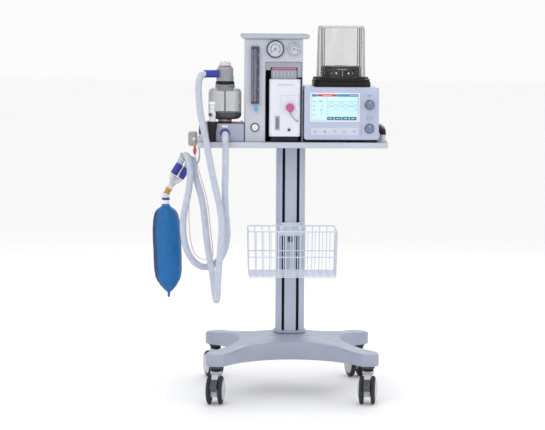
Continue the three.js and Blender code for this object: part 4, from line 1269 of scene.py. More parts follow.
def turn_knob(r, length, flutes):
    """A fluted knob with a plain skirt, narrowing to its face."""
    profile = [
        (r, 0.3), (r, 3.4), (r * 0.93, 5), (r * 0.86, 6.4), (r * 0.82, length - 4), (r * 0.78, length - 1.6),
        (r * 0.68, length - 0.3), (r * 0.5, length),
    ]
    return fluted(profile, 6 * flutes, flutes, 0.035 * r, (3, 4, 5))


def make_vent_knobs():
    for name, z, length in (("upper", 1052, 24), ("lower", 968, 17)):
        body = f"vent_knob_{name}_body"
        spot = on_front(270, VENT_FRONT - 1.4, z)
        knob = placed(turn_knob(18.6, length - 2, 20), spot)
        piece(f"knob_{name}", knob, KNOB_GREY, body, bevel=0.4, replaces=[f"vent_knob_{name}"])
        line = placed(brick(-0.7, 0.7, 5, 12, length - 2.2, length - 1.6), spot)
        piece(f"knob_{name}_line", line, WHITE, body)
        skirt = placed(
            lathe([(0, 0), (21.5, 0), (21.5, 0.6), (20, 1.4), (0, 1.4)], 48),
            on_front(270, VENT_FRONT - 0.4, z),
        )
        piece(f"knob_{name}_seat", skirt, VENT_LIGHT, bevel=0.3)


BELLOWS_X, BELLOWS_Y = 176, -50
BELLOWS_AXIS = Matrix.Translation((BELLOWS_X, BELLOWS_Y, 0))


def make_bellows_base():
    """Black plinth with chamfered corners, a stepped top, side latches and a rubber seal."""
    plans = []
    for half, near, z0, z1 in ((100, 82, 1113.3, 1132), (97, 80, 1132, 1141)):
        quarter = [(half, -near), (half, near), (near, half), (-near, half)]
        plan = quarter + [(-x, -y) for x, y in quarter]
        plans.append(placed(prism(plan, z0, z1), BELLOWS_AXIS))
    piece("bellows_plinth", merged(*plans), BLACK, bevel=2.0, segments=3, replaces=["bellows_base"])
    latches = []
    for side in (-1, 1):
        latches.append(placed(brick(side * 96.5 - 4, side * 96.5 + 3.6, -18, 18, 1122, 1138), BELLOWS_AXIS))
    piece("plinth_latches", merged(*latches), BLACK, bevel=1.2)
    rim = placed(ring(95.3, 98.6, 1139, 1145.5, 96), BELLOWS_AXIS)
    piece("plinth_seal", rim, RUBBER, bevel=0.6)


def make_bellows():
    """Folded rubber bellows under its top disc."""
    folds, z0, z1 = 5, 1142, 1180
    pitch = (z1 - z0) / folds
    profile = [(0, z0), (58, z0), (66, z0)]
    for i in range(folds):
        low = z0 + i * pitch
        profile += [
            (72.5, low + 0.16 * pitch), (74, low + 0.4 * pitch), (72.5, low + 0.64 * pitch),
            (64, low + 0.92 * pitch),
        ]
    profile += [(60, z1 - 0.1), (0, z1 - 0.1)]
    form = placed(lathe(profile, 72), BELLOWS_AXIS)
    corners, faces = form
    mesh = bpy.data.meshes.new("bellows_folds")
    mesh.from_pydata([at(*c) for c in corners], [], faces)
    mesh.materials.append(RUBBER)
    for face in mesh.polygons:
        face.use_smooth = True
    folds_obj = bpy.data.objects.new("bellows_folds", mesh)
    bpy.context.scene.collection.objects.link(folds_obj)
    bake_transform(folds_obj)
    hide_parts("bellows")

    top = placed(
        lathe(
            [
                (0, 1180.3), (70, 1180.3), (70, 1183), (68, 1185), (40, 1185.4), (38, 1186.2), (30, 1186.2),
                (28, 1185.4), (0, 1185.4),
            ],
            72,
        ),
        BELLOWS_AXIS,
    )
    piece("bellows_cap", top, BLACK, "bellows_top", bevel=0.5, replaces=["bellows_disc"])
    marks = []
    for i, turn in enumerate((-118, -106, -74, -62)):
        out = BELLOWS_AXIS @ rotation(turn, "Z")
        size = 3.4 if i in (1, 2) else 1.6
        marks.append(
            placed(slab_x(rounded(-size, size, 1161 - size, 1161 + size, size * 0.9, 6), 78.2, 78.6), out)
        )
    plate = BELLOWS_AXIS @ rotation(-90, "Z")
    marks.append(placed(slab_x(rounded(-0.6, 0.6, 1148, 1172, 0.5, 3), 78.2, 78.6), plate))
    for i in range(5):
        marks.append(
            placed(slab_x(rounded(-17 + 7 * i, -12 + 7 * i, 1174, 1176, 0.5, 3), 78.2, 78.6), plate)
        )
    piece("bellows_marks", merged(*marks), WHITE)


def make_dome():
    """Clear dome: a ring flange, walls drawn in a little at the foot, and a flat top inside a round edge."""
    wall = 2.4
    outer = [
        (88, 1148.6), (86.8, 1200), (85, 1300), (84.2, 1318), (82.6, 1324), (79, 1328.4), (74, 1330),
        (0, 1330),
    ]
    inner = [(r - wall, z) for r, z in outer[:-2]] + [(73, 1330 - wall), (0, 1330 - wall)]
    profile = outer[::-1] + [
        (89.6, 1147.6), (94.6, 1147.2), (95, 1146.6), (95, 1141.6), (94.4, 1141.4), (86, 1141.4),
    ] + inner
    form = placed(lathe(profile, 96), BELLOWS_AXIS)
    piece("dome", form, CLEAR, sharp=60, replaces=["bellows_dome"])
    ribs = []
    for turn in (-148, -141, -39, -32, 32, 39, 141, 148):
        out = BELLOWS_AXIS @ rotation(turn, "Z")
        ribs.append(placed(brick(79.6, 82.4, -0.9, 0.9, 1149, 1322), out))
    piece("dome_ribs", merged(*ribs), SMOKY, bevel=0.3)
    hoop = placed(ring(80.6, 82.2, 1320, 1322, 72), BELLOWS_AXIS)
    piece("dome_hoop", hoop, CLEAR_HAZY)
    scale = []
    face = BELLOWS_AXIS @ rotation(-90, "Z")
    for i in range(11):
        width = 7 if i % 2 == 0 else 4
        z = 1196 + 11 * i
        scale.append(
            placed(
                slab_x(
                    rounded(-width, width, z, z + 1, 0.4, 3), 86.9 - 0.0094 * (z - 1196) + 0.1,
                    87.4 - 0.0094 * (z - 1196),
                ),
                face,
            )
        )
    piece("dome_scale", merged(*scale), DOME_INK)


DOME_INK = surface("dome_ink", (0.36, 0.43, 0.55), 0.4, wear=0)
make_vent_case()
make_screen()
make_vent_knobs()
make_bellows_base()
make_bellows()
make_dome()

# ---------- gas tower, gauges and flowmeter ----------

TOWER_FRONT = -150
TOWER_LEFT, TOWER_RIGHT, TOWER_TOP = -169, 35, 1281
BAY_LEFT, BAY_RIGHT, BAY_TOP = -98, 31.4, 1201
BAY_BACK = 10.3
FLOW_X, FLOW_KNOB_X = -134.5, -131
# The black part of the lining is painted shade, standing in for the dark lower bay.
BAY_BLACK_TOP = 1150  # the lining is black up to here and grey above


def make_tower():
    """Painted sheet housing round an open bay, with grey lining above and a black lining below that is
    painted shade, a rear plate and gas inlets.
    """
    outline = [
        (TOWER_LEFT, STAND_Z), (BAY_LEFT, STAND_Z), (BAY_LEFT, BAY_TOP), (BAY_RIGHT, BAY_TOP),
        (BAY_RIGHT, STAND_Z), (TOWER_RIGHT, STAND_Z), (TOWER_RIGHT, TOWER_TOP), (TOWER_LEFT, TOWER_TOP),
    ]
    shell = slab_y(outline, TOWER_FRONT, 60)
    piece("tower_shell", shell, TOWER_PAINT, bevel=1.7, segments=3, replaces=["tower_housing"])
    rear = brick(-99, 32, 10.5, 59.5, 918.6, 1202)
    piece("tower_rear", rear, TOWER_PAINT, bevel=0.8)
    left, right = BAY_LEFT + 0.2, BAY_RIGHT - 0.2
    upper = [
        brick(left, left + 1, -148, 10, BAY_BLACK_TOP, 1200.6),
        brick(right - 1, right, -148, 10, BAY_BLACK_TOP, 1200.6),
        brick(left, right, 9.2, BAY_BACK, BAY_BLACK_TOP, 1200.6),
        brick(left, right, -148, BAY_BACK, 1199.6, 1200.8),
    ]
    piece("bay_upper_lining", merged(*upper), SHADOW_GREY, bevel=0.3)
    fascia = slab_y(
        [
            (-97.4, 1172), (-79.6, 1172), (-79.6, 1181), (15.6, 1181), (15.6, 1146), (30.8, 1146),
            (30.8, 1200.2), (-97.4, 1200.2),
        ],
        -146, -144.4,
    )
    piece("bay_fascia", fascia, FASCIA_GREY, bevel=0.4)
    # Painted shade: black walls and floor stand in for the shade deep in the lower bay.
    lower = [
        brick(left, left + 2, -149.4, 10, 918.4, BAY_BLACK_TOP),
        brick(right - 2, right, -149.4, 10, 918.4, BAY_BLACK_TOP),
        brick(left, right, 8.4, BAY_BACK, 918.4, BAY_BLACK_TOP),
        brick(left, right, -149.4, BAY_BACK, 918.2, 920.4),
    ]
    piece("bay_lower_painted_shade", merged(*lower), BLACK, bevel=0.3)
    rear_screws = [
        placed(lathe([(0, 0), (3.4, 0), (3.4, 0.6), (2.4, 1.6), (0, 1.8)], 16), placed_back(x, 60, z))
        for x in (-158, 24) for z in (935, 1100, 1268)
    ]
    piece("tower_screws", merged(*rear_screws), STEEL)
    plate = slab_y(rounded(-150, 16, 945, 1190, 6, 4), 59.6, 61.2)
    piece("tower_rear_plate", plate, TOWER_PAINT, bevel=0.5)
    ports = []
    for x in (-120, -80, -40):
        ports.append(
            placed(
                lathe([(0, 0), (11, 0), (11, 3), (7.5, 4), (7.5, 12), (6, 13.5), (0, 13.5)], 6),
                placed_back(x, 60.5, 980),
            )
        )
    piece("gas_inlets", merged(*ports), STEEL, bevel=0.4)


def make_tray():
    """Top tray: a pressed pan whose lips flare outwards, with a rolled edge."""
    # how far each ring reaches past the tray's outline, and its height
    steps = [
        (-7, 1281.2), (-1.5, 1284.5), (0, 1296.2), (0.2, 1297.2), (-1.0, 1297.6), (-2.2, 1296.8),
        (-3.6, 1286), (-8, 1284),
    ]
    rings = []
    for grow, z in steps:
        outline = rounded(-184 - grow, 58 + grow, -165 - grow, 72 + grow, 10 + grow, 8)
        rings.append([(x, y, z) for x, y in outline])
    piece("tray_pan", stacked(rings), TRAY_PAINT, bevel=0.5, sharp=50, replaces=["tower_tray"])
    mat = prism(rounded(-172, 46, -153, 60, 4, 4), 1283.8, 1285)
    piece("tray_mat", mat, SHADOW_GREY, bevel=0.4)


TRAY_PAINT = surface("tray_paint", (0.42, 0.46, 0.53), 0.4, bump=0.1)


def make_gauge(name, node, x, z, r, dark_rim, body, arc_material):
    spot = on_front(x, TOWER_FRONT, z)
    rim = lathe(
        [
            (0, 0.3), (r, 0.3), (r, 7.6), (r - 0.7, 9.6), (r - 1.6, 10.4), (r - 2.8, 10.2), (r - 3.4, 9),
            (r - 3.6, 6.2), (0, 6.2),
        ],
        72,
    )
    piece(
        name + "_rim", placed(rim, spot), BLACK if dark_rim else BEZEL_GREY, sharp=30, bevel=0.2,
        replaces=[node],
    )
    face = lathe([(0, 6.0), (r - 3.7, 6.0), (r - 3.7, 6.5), (0, 6.5)], 64)
    piece(name + "_face", placed(face, spot), GAUGE_FACE)
    ticks = []
    for i in range(28):
        turn = math.radians(225 - 10 * i)
        long_tick = i % 3 == 0
        inner, outer = r * (0.62 if long_tick else 0.68), r * 0.78
        tick = brick(
            inner, outer, -0.22 if not long_tick else -0.34, 0.22 if not long_tick else 0.34, 6.5, 6.75,
        )
        ticks.append(placed(tick, Matrix.Rotation(turn, 4, "Z")))
    numbers, number = [], r * 0.12
    for i, text in enumerate(("0", "2", "4", "6", "8")):
        turn = math.radians(225 - 67.5 * i)
        nx, nz = x + r * 0.38 * math.cos(turn), z + r * 0.38 * math.sin(turn)
        numbers += digits(text, nx - number * 0.4, nz - number / 2, number, TOWER_FRONT - 6.75, 0.25)
    piece(name + "_ticks", placed(merged(*ticks), spot), INK)
    piece(name + "_numbers", merged(*numbers), INK)
    band = []
    for i in range(36):
        start, end = (math.radians(225 - 270 * k / 36) for k in (i, i + 1))
        low, high = r * 0.50, r * 0.58
        band.append(
            prism(
                [
                    (low * math.cos(start), low * math.sin(start)),
                    (high * math.cos(start), high * math.sin(start)),
                    (high * math.cos(end), high * math.sin(end)),
                    (low * math.cos(end), low * math.sin(end)),
                ],
                6.5, 6.7,
            )
        )
    piece(name + "_band", placed(merged(*band), spot), arc_material)
    arm, tail = r * 0.52, r * 0.2
    pointer = [(-1.2, 0), (-1.9, -tail), (1.9, -tail), (1.2, 0), (0.35, arm), (-0.35, arm)]
    needle = merged(
        prism(pointer, 7.0, 7.7),
        lathe([(0, 6.4), (r * 0.13, 6.4), (r * 0.13, 8.0), (r * 0.09, 8.6), (0, 8.6)], 24),
    )
    needle = placed(needle, rotation(135, "Z"))
    piece(
        name + "_needle", placed(needle, spot), RED, body, bevel=0.12, replaces=[body.replace("_body", "")],
    )
    glass = lathe([(0, 8.9), (r - 3.5, 8.9), (r - 3.5, 9.4), (0, 9.6)], 48)
    piece(name + "_glass", placed(glass, spot), LENS)


BEZEL_GREY = surface("bezel_grey", (0.50, 0.52, 0.57), 0.3, metal=0.4)
GAUGE_FACE = surface("gauge_face", (0.56, 0.60, 0.70), 0.35)
GAUGE_GREEN = surface("gauge_green", (0.16, 0.36, 0.28), 0.4, wear=0)
GAUGE_BLUE = surface("gauge_blue", (0.10, 0.16, 0.42), 0.4, wear=0)


def make_flowmeter():
    """A dark block with a clear tapered tube between its sides, white marks and a knob below."""
    x, front = FLOW_X, TOWER_FRONT
    back = brick(x - 14.4, x + 14.4, front - 3, front - 0.3, 1053, 1255)
    piece("flow_back", back, FLOW_GREY, bevel=0.4, replaces=["flowmeter"])
    sides = [
        brick(x - 14.4, x - 6.6, front - 14, front - 2.8, 1061, 1247),
        brick(x + 6.6, x + 14.4, front - 14, front - 2.8, 1061, 1247),
    ]
    piece("flow_sides", sides[0], FLOW_GREY, bevel=0.8)
    # Painted shade: the right rail takes the darker copy of the rail colour.
    piece("flow_side_dark", sides[1], FLOW_DARK, bevel=0.8)
    ends = [
        brick(x - 14.4, x + 14.4, front - 14.3, front - 0.3, 1053, 1061),
        brick(x - 14.4, x + 14.4, front - 14.3, front - 0.3, 1247, 1255),
    ]
    piece("flow_ends", merged(*ends), FLOW_DARK, bevel=1.0)
    clear_tube = lathe([(4.9, 1061), (5.3, 1061), (6.1, 1247), (5.7, 1247), (4.9, 1061)], 36)
    piece("flow_tube", moved(clear_tube, x, -157.3, 0), LENS)
    marks = []
    for i in range(23):
        z = 1066 + 8 * i
        wide = i % 5 == 0
        marks.append(panel(x - 11.6, x - (8.2 if wide else 9.6), z, z + 0.8, front - 14.3, 0.4))
        if wide:
            marks += digits(str(i // 5 * 2), x + 8.4, z - 1.8, 4.2, front - 14.3, 0.4)
    piece("flow_marks", merged(*marks), WHITE)
    spool = lathe(
        [
            (0, 1057.5), (3.2, 1057.5), (4.3, 1059), (4.3, 1061), (2.6, 1062.5), (2.6, 1064.5),
            (4.4, 1066.5), (4.4, 1068.4), (0, 1068.8),
        ],
        32,
    )
    piece("float_spool", moved(spool, x, -157.3, 0), ORANGE, "float", bevel=0.2, replaces=["flow_float"])
    seat = placed(
        lathe([(0, 0), (12.5, 0), (12.5, 1.2), (10.6, 2), (0, 2)], 40),
        on_front(FLOW_KNOB_X, TOWER_FRONT + 0.4, 1035),
    )
    piece("flow_knob_seat", seat, TOWER_PAINT)
    knob = placed(turn_knob(9.8, 20, 14), on_front(FLOW_KNOB_X, TOWER_FRONT - 1.8, 1035))
    piece("flow_knob_grip", knob, WHITE, "flow_knob_body", bevel=0.3, replaces=["flow_knob"])
    cap = placed(
        lathe([(0, 16), (8.2, 16), (8.2, 20.6), (7.4, 22), (5, 22.8), (0, 23)], 36),
        on_front(FLOW_KNOB_X, TOWER_FRONT - 1, 1035),
    )
    piece("flow_knob_cap", cap, SKY_BLUE, "flow_knob_body", bevel=0.3)


def make_flush():
    spot = on_front(-134, TOWER_FRONT, 969)
    collar = lathe(
        [
            (11.9, -0.2), (15.6, -0.2), (16.2, 1.4), (15.6, 3.6), (13.8, 4.4), (12.2, 4), (11.9, 3),
            (11.9, -0.2),
        ],
        64,
    )
    piece("flush_collar", placed(collar, spot), DARK_STEEL, sharp=50)
    button = lathe(
        [
            (0, -2), (11.2, -2), (11.2, 7.6), (10.4, 9.2), (9, 9.8), (7.6, 9.4), (6.4, 8.8), (3, 8.6),
            (2.4, 9.2), (0, 9.4),
        ],
        56,
    )
    piece("flush_cap", placed(button, spot), WHITE, "flush", bevel=0.2, replaces=["flush_button"])
    ringlet = lathe([(3.4, 8.5), (4.4, 8.5), (4.4, 9.15), (3.4, 9.15), (3.4, 8.5)], 40)
    piece("flush_ring", placed(ringlet, spot), KNOB_GREY, "flush")


DARK_STEEL = surface("dark_steel", (0.16, 0.165, 0.18), 0.3, metal=0.9)

# ---------- vaporizer ----------

VAPORIZER_FRONT = -168
DIAL_X, DIAL_Z = -11, 1041


def make_vaporizer():
    """White cast body on a black plinth, with a grey lid, a pink control dial, sight glass and drain."""
    body = prism(rounded(-84, 26, VAPORIZER_FRONT, -30, 10, 8), 938, 1140)
    piece("vaporizer_case", body, WHITE_PAINT, bevel=2.2, segments=4, replaces=["vaporizer_body"])
    plinth = prism(rounded(-79, 21, -163, -35, 8, 6), 920.6, 938.4)
    piece("vaporizer_plinth", plinth, BLACK, bevel=1.0)
    lid = prism(rounded(-78, 14, -152, -36, 8, 8), 1140.3, 1172)
    band = prism(rounded(-77.4, 13.4, -151.4, -36.6, 8, 8), 1172, 1176.4)
    cap = prism(rounded(-76, 12, -150, -38, 8, 8), 1176.4, 1180)
    piece("vaporizer_top", lid, LID_GREY, bevel=1.2, replaces=["vaporizer_lid"])
    piece("vaporizer_band", band, MAGENTA, bevel=0.8)
    piece("vaporizer_cap", cap, LID_GREY, bevel=1.2)
    ribs = [panel(-70 + 13 * i, -67 + 13 * i, 1146, 1168, -153.0, 1.4, 1) for i in range(6)]
    piece("lid_ribs", merged(*ribs), LID_LIGHT, bevel=0.4)

    spot = on_front(DIAL_X, VAPORIZER_FRONT, DIAL_Z)
    plate = lathe([(0, -0.2), (24, -0.2), (24, 0.6), (23, 1.2), (0, 1.2)], 64)
    piece("dial_plate", placed(plate, spot), WHITE_PAINT, sharp=30)
    ticks = []
    for i in range(26):
        turn = rotation(210 - 9.6 * i, "Z")
        ticks.append(placed(brick(19, 21 if i % 5 else 22.6, -0.3, 0.3, 1.1, 1.35), turn))
    piece("dial_ticks", placed(merged(*ticks), spot), KNOB_GREY)
    numbers = []
    for i, text in enumerate(("0", "1", "2", "3", "4", "5")):
        turn = math.radians(210 - 48 * i)
        numbers += digits(
            text, DIAL_X + 28.5 * math.cos(turn) - 1.6, DIAL_Z + 28.5 * math.sin(turn) - 2.4, 4.8,
            VAPORIZER_FRONT - 0.3, 0.5,
        )
    frame_lines = [
        panel(-44, 21, 1082, 1083, VAPORIZER_FRONT - 0.3, 0.5),
        panel(-44, -43, 1046, 1083, VAPORIZER_FRONT - 0.3, 0.5),
        panel(20, 21, 1046, 1083, VAPORIZER_FRONT - 0.3, 0.5),
    ]
    piece("dial_numbers", merged(*numbers, *frame_lines), PRINT_GREY)
    grip = placed(turn_knob(14.8, 24, 16), on_front(DIAL_X, VAPORIZER_FRONT - 1.4, DIAL_Z))
    piece("dial_grip", grip, PINK, "dial", bevel=0.3, replaces=["vaporizer_dial"])
    lug = placed(
        merged(brick(-2.2, 2.2, -17.6, -12, 3, 9), disc(9.4, 23.6, 25.2, 40)),
        on_front(DIAL_X, VAPORIZER_FRONT - 1.2, DIAL_Z),
    )
    piece("dial_lug", lug, PINK, "dial", bevel=0.5)

    lever = smooth_path(
        [
            (-11, -173, 1026), (-8, -176, 1017), (0, -178, 1006), (9, -178, 997), (15, -177, 991),
            (17, -175.4, 994), (16, -174, 998),
        ],
        1.5,
    )
    post = placed(lathe([(0, 0), (3.4, 0), (3.4, 5), (2.6, 6), (0, 6)], 20), on_front(-11, -167.8, 1026))
    piece("dial_latch", merged(tube(lever, 1.3, 12), post), DARK_STEEL, bevel=0.2)

    glass = panel(-63, -48, 962, 1010, -170.4, 2.6, 2)
    piece("sight_frame", glass, SIGHT_GREY, bevel=0.7)
    window = panel(-59.5, -51.5, 967, 1005, -171.0, 1.0, 3)
    piece("sight_glass", window, SMOKY, bevel=0.3)
    caps = [panel(-62, -49, 1004, 1009, -171.6, 1.6, 1.5), panel(-62, -49, 963, 967, -171.6, 1.6, 1.5)]
    caps += [panel(-60, -57.4, 975 + 9 * i, 975.7 + 9 * i, -171.5, 0.6) for i in range(4)]
    piece("sight_ends", merged(*caps), LID_GREY, bevel=0.3)
    drain = placed(
        lathe(
            [
                (2.2, -0.2), (6.8, -0.2), (7.2, 1), (6.6, 2.4), (4.2, 2.6), (3.4, 0.6), (2.2, 0.4),
                (2.2, -0.2),
            ],
            36,
        ),
        on_front(-14, VAPORIZER_FRONT, 962),
    )
    piece("drain_rim", drain, STEEL, sharp=50)
    # Painted shade: a black disc stands in for the dark inside of the drain opening.
    hole = placed(disc(4, -0.2, 0.8, 28), on_front(-14, VAPORIZER_FRONT, 962))
    piece("drain_hole_shade", hole, BLACK)
    label = panel(-56, 2, 1119, 1122.5, VAPORIZER_FRONT - 0.4, 0.6, 1.4)
    piece("vaporizer_line", label, PRINT_GREY)
    screws = [
        placed(lathe([(0, 0), (2.4, 0), (2.4, 0.5), (1.6, 1), (0, 1.1)], 14), on_front(x, -167.9, z))
        for x in (-76, 18) for z in (946, 1132)
    ]
    piece("vaporizer_screws", merged(*screws), STEEL)


LID_GREY = surface("lid_grey", (0.31, 0.33, 0.37), 0.3)
LID_LIGHT = surface("lid_light", (0.46, 0.50, 0.58), 0.3)
MAGENTA = surface("magenta", (0.50, 0.05, 0.25), 0.35)
PRINT_GREY = surface("print_grey", (0.46, 0.46, 0.52), 0.4, wear=0)
SIGHT_GREY = surface("sight_grey", (0.30, 0.31, 0.34), 0.4)

make_tower()
make_tray()
make_gauge("gauge_large", "gauge_large", -63.5, 1246, 31, True, "needle_large_body", GAUGE_BLUE)
make_gauge("gauge_small", "gauge_small", 3, 1247, 23, False, "needle_small_body", GAUGE_GREEN)
make_flowmeter()
make_flush()
make_vaporizer()

# ---------- carbon dioxide absorber and pop-off valve ----------

ABSORBER_X, ABSORBER_Y = -240, -95
ABSORBER_AXIS = Matrix.Translation((ABSORBER_X, ABSORBER_Y, 0))


def make_circuit_block():
    block = prism(rounded(-310, -170, -149, -40, 10, 8), STAND_Z, 982)
    top = prism(rounded(-308, -172, -147, -42, 9, 8), 982, 984)
    piece("block_body", block, BLOCK_ALLOY, bevel=1.6, segments=3, replaces=["circuit_block"])
    piece("block_top", top, BLACK, bevel=0.5)
    label = panel(-252, -230, 968, 976, -149.5, 0.7, 1.5)
    piece("block_label", label, WHITE)
    dots = [placed(disc(0.9, 0, 0.3, 12), on_front(-248 + 4.6 * i, -149.4, 972)) for i in range(4)]
    piece("block_label_dots", merged(*dots), PRINT_GREY)
    spigot = placed(
        lathe([(0, 0), (17.5, 0), (18, 0.6), (18, 2.4), (17, 3), (15.4, 3.2), (0, 3.2)], 48),
        on_front(-240, -149, 948),
    )
    piece("block_spigot", spigot, KNOB_GREY, bevel=0.3)
    bolts = [
        moved(lathe([(0, 0), (4, 0), (4, 2.4), (3.4, 3), (2, 3), (1.8, 2), (0, 2)], 24), x, y, 984)
        for x in (-300, -180) for y in (-60, -132)
    ]
    bolts.append(
        placed(
            lathe([(0, 0), (6.4, 0), (6.4, 8), (5, 9.4), (0, 9.4)], 28),
            Matrix.Translation((-170, -90, 952)) @ rotation(90, "Y"),
        )
    )
    piece("block_bolts", merged(*bolts), STEEL, bevel=0.2)
    elbow = smooth_path(
        [(-309, -70, 950), (-316, -70, 950), (-322, -70, 946), (-324, -70, 938), (-324, -70, 920)], 2,
    )
    piece("block_hose", tube(elbow, 8.5, 20), RUBBER, bevel=0.5)
    back_hose = smooth_path(
        [(-200, -41, 950), (-200, -24, 950), (-196, -8, 952), (-184, 0, 954), (-168.5, 2, 955)], 2,
    )
    piece("gas_hose", tube(back_hose, 5, 18), RUBBER, bevel=0.4)


def make_canister():
    """Clear canister: ribbed foot collar over a red seal, black lower band, round shoulder and a neck."""
    here = ABSORBER_AXIS
    seal = lathe([(18, 984.3), (24, 984.3), (25, 986), (24, 987.8), (18, 987.8), (18, 984.3)], 64)
    piece("canister_seal", placed(seal, here), RED, sharp=60)
    foot = lathe([(0, 987.2), (22.8, 987.2), (23, 988), (23, 994), (22, 995.4), (0, 995.4)], 64)
    lugs = spun(brick(21, 24.6, -1.6, 1.6, 988, 995), range(0, 360, 20))
    piece("canister_foot", placed(merged(foot, *lugs), here), CLEAR_HAZY, bevel=0.4)
    cup = lathe(
        [
            (0, 995.6), (46, 996.4), (52, 999.4), (56.5, 1004), (58.6, 1009), (59, 1019.4), (58, 1020.4),
            (54.6, 1020.4), (54, 1010), (50, 1003.6), (0, 1002),
        ],
        96,
    )
    piece("canister_cup", placed(cup, here), CUP_BLACK, sharp=60, bevel=0.3)
    wall = 2.4
    outer = [
        (57.4, 1016), (58.6, 1021), (59, 1028), (59, 1088), (58, 1095), (55, 1100.4), (50, 1103.6),
        (42, 1105.6), (36.4, 1107), (35.6, 1110), (35.6, 1119.6),
    ]
    inner = [(r - wall, z - (0 if i > 7 else 0.4)) for i, (r, z) in enumerate(outer)]
    piece("canister", placed(lathe(outer + inner[::-1] + [outer[0]], 96), here), CANISTER_CLEAR,
          sharp=60, replaces=["absorber_canister"])
    rod = lathe([(0, 1002), (3, 1002), (3, 1096), (0, 1096)], 24)
    piece("canister_rod", placed(rod, here), DARK_STEEL)
    plate = lathe([(0, 1008), (52.5, 1008), (52.5, 1011), (0, 1011)], 72)
    # Painted shade: black discs stand in for the dark seen through the grid's holes.
    holes = [placed(disc(2.2, 1010.8, 1011.3, 12), Matrix.Translation((r * math.cos(a), r * math.sin(a), 0)))
             for r in (14, 26, 38) for a in [2 * math.pi * k / (r // 2) for k in range(r // 2)]]
    piece("canister_grid", placed(plate, here), SIGHT_GREY)
    piece("canister_grid_holes", placed(merged(*holes), here), BLACK)
    collar = lathe([(3, 1096), (29, 1096), (31, 1098.5), (31, 1116), (29.6, 1118), (3, 1118), (3, 1096)], 72)
    notches = spun(brick(29, 32, -1.4, 1.4, 1099, 1115), range(0, 360, 30))
    piece("neck_collar", placed(merged(collar, *notches), here), LID_GREY, bevel=0.5)


CUP_BLACK = clear("cup_smoky", (0.055, 0.058, 0.072), 0.12, 0.86, 1.0)
CANISTER_CLEAR = clear("canister_clear", (0.34, 0.355, 0.385), 0.05, 0.17, 0.78, 0.03)
HEAD_SMOKY = clear("head_smoky", (0.38, 0.40, 0.44), 0.1, 0.78, 1.0)


def make_valve_head():
    """Smoky valve head on a black ring nut, with a red seal and a clear ribbed knob."""
    here = ABSORBER_AXIS
    nut = lathe(
        [(0, 1119.8), (32, 1119.8), (32.8, 1121), (32.8, 1127), (32, 1129.4), (30, 1130.4), (0, 1130.4)],
        72,
    )
    grips = spun(brick(32, 33.6, -1.2, 1.2, 1121, 1127), range(0, 360, 15))
    piece("head_nut", placed(merged(nut, *grips), here), BLACK, bevel=0.4)
    head = lathe(
        [
            (0, 1130), (29, 1130), (30.4, 1131.4), (30.4, 1144), (29.4, 1145.4), (29.4, 1172), (28.2, 1177),
            (25, 1181.4), (21, 1183), (0, 1183),
        ],
        80,
    )
    ribs = spun(brick(28.4, 30.2, -0.8, 0.8, 1133, 1170), (20, 70, 110, 300, 330))
    piece(
        "head_body", placed(merged(head, *ribs), here), HEAD_SMOKY, sharp=35, bevel=0.3,
        replaces=["absorber_head"],
    )
    band = ring(29.6, 30.9, 1131.4, 1146, 80)
    piece("head_band", placed(band, here), SIGHT_GREY, bevel=0.4)
    inner = lathe([(0, 1131), (20, 1131), (20, 1142), (11, 1146), (11, 1168), (0, 1170)], 40)
    piece("head_valve", placed(inner, here), DARK_STEEL)
    seal = lathe(
        [(15, 1182.4), (21.6, 1182.4), (22.4, 1183.4), (21.6, 1184.9), (15, 1184.9), (15, 1182.4)], 64,
    )
    piece("head_seal", placed(seal, here), RED, sharp=60)
    spout_turn = Matrix.Rotation(math.atan2(-0.507, -0.862), 4, "Z") @ rotation(90, "Y")
    spout = lathe([(0, 20), (15.4, 20), (15.4, 31.4), (12, 31.6), (12, 40), (0, 40)], 40)
    piece(
        "head_spout", placed(spout, Matrix.Translation((ABSORBER_X, ABSORBER_Y, 1157)) @ spout_turn),
        KNOB_GREY, bevel=0.4,
    )
    profile = [(19.6, 1185.1), (20.4, 1186.4), (20.2, 1194), (19, 1197.4), (16.6, 1199.4), (12, 1200)]
    knob = fluted(profile, 96, 16, 1.0, (0, 1, 2, 3))
    piece("head_knob", placed(knob, here), CLEAR_HAZY, "absorber_cap", bevel=0.3, replaces=["absorber_knob"])
    arrow = prism([(-2, -9), (2, -9), (2, 2), (5.4, 2), (0, 9.6), (-5.4, 2), (-2, 2)], 1199.8, 1200.3)
    piece("head_knob_arrow", placed(arrow, here), KNOB_GREY, "absorber_cap")


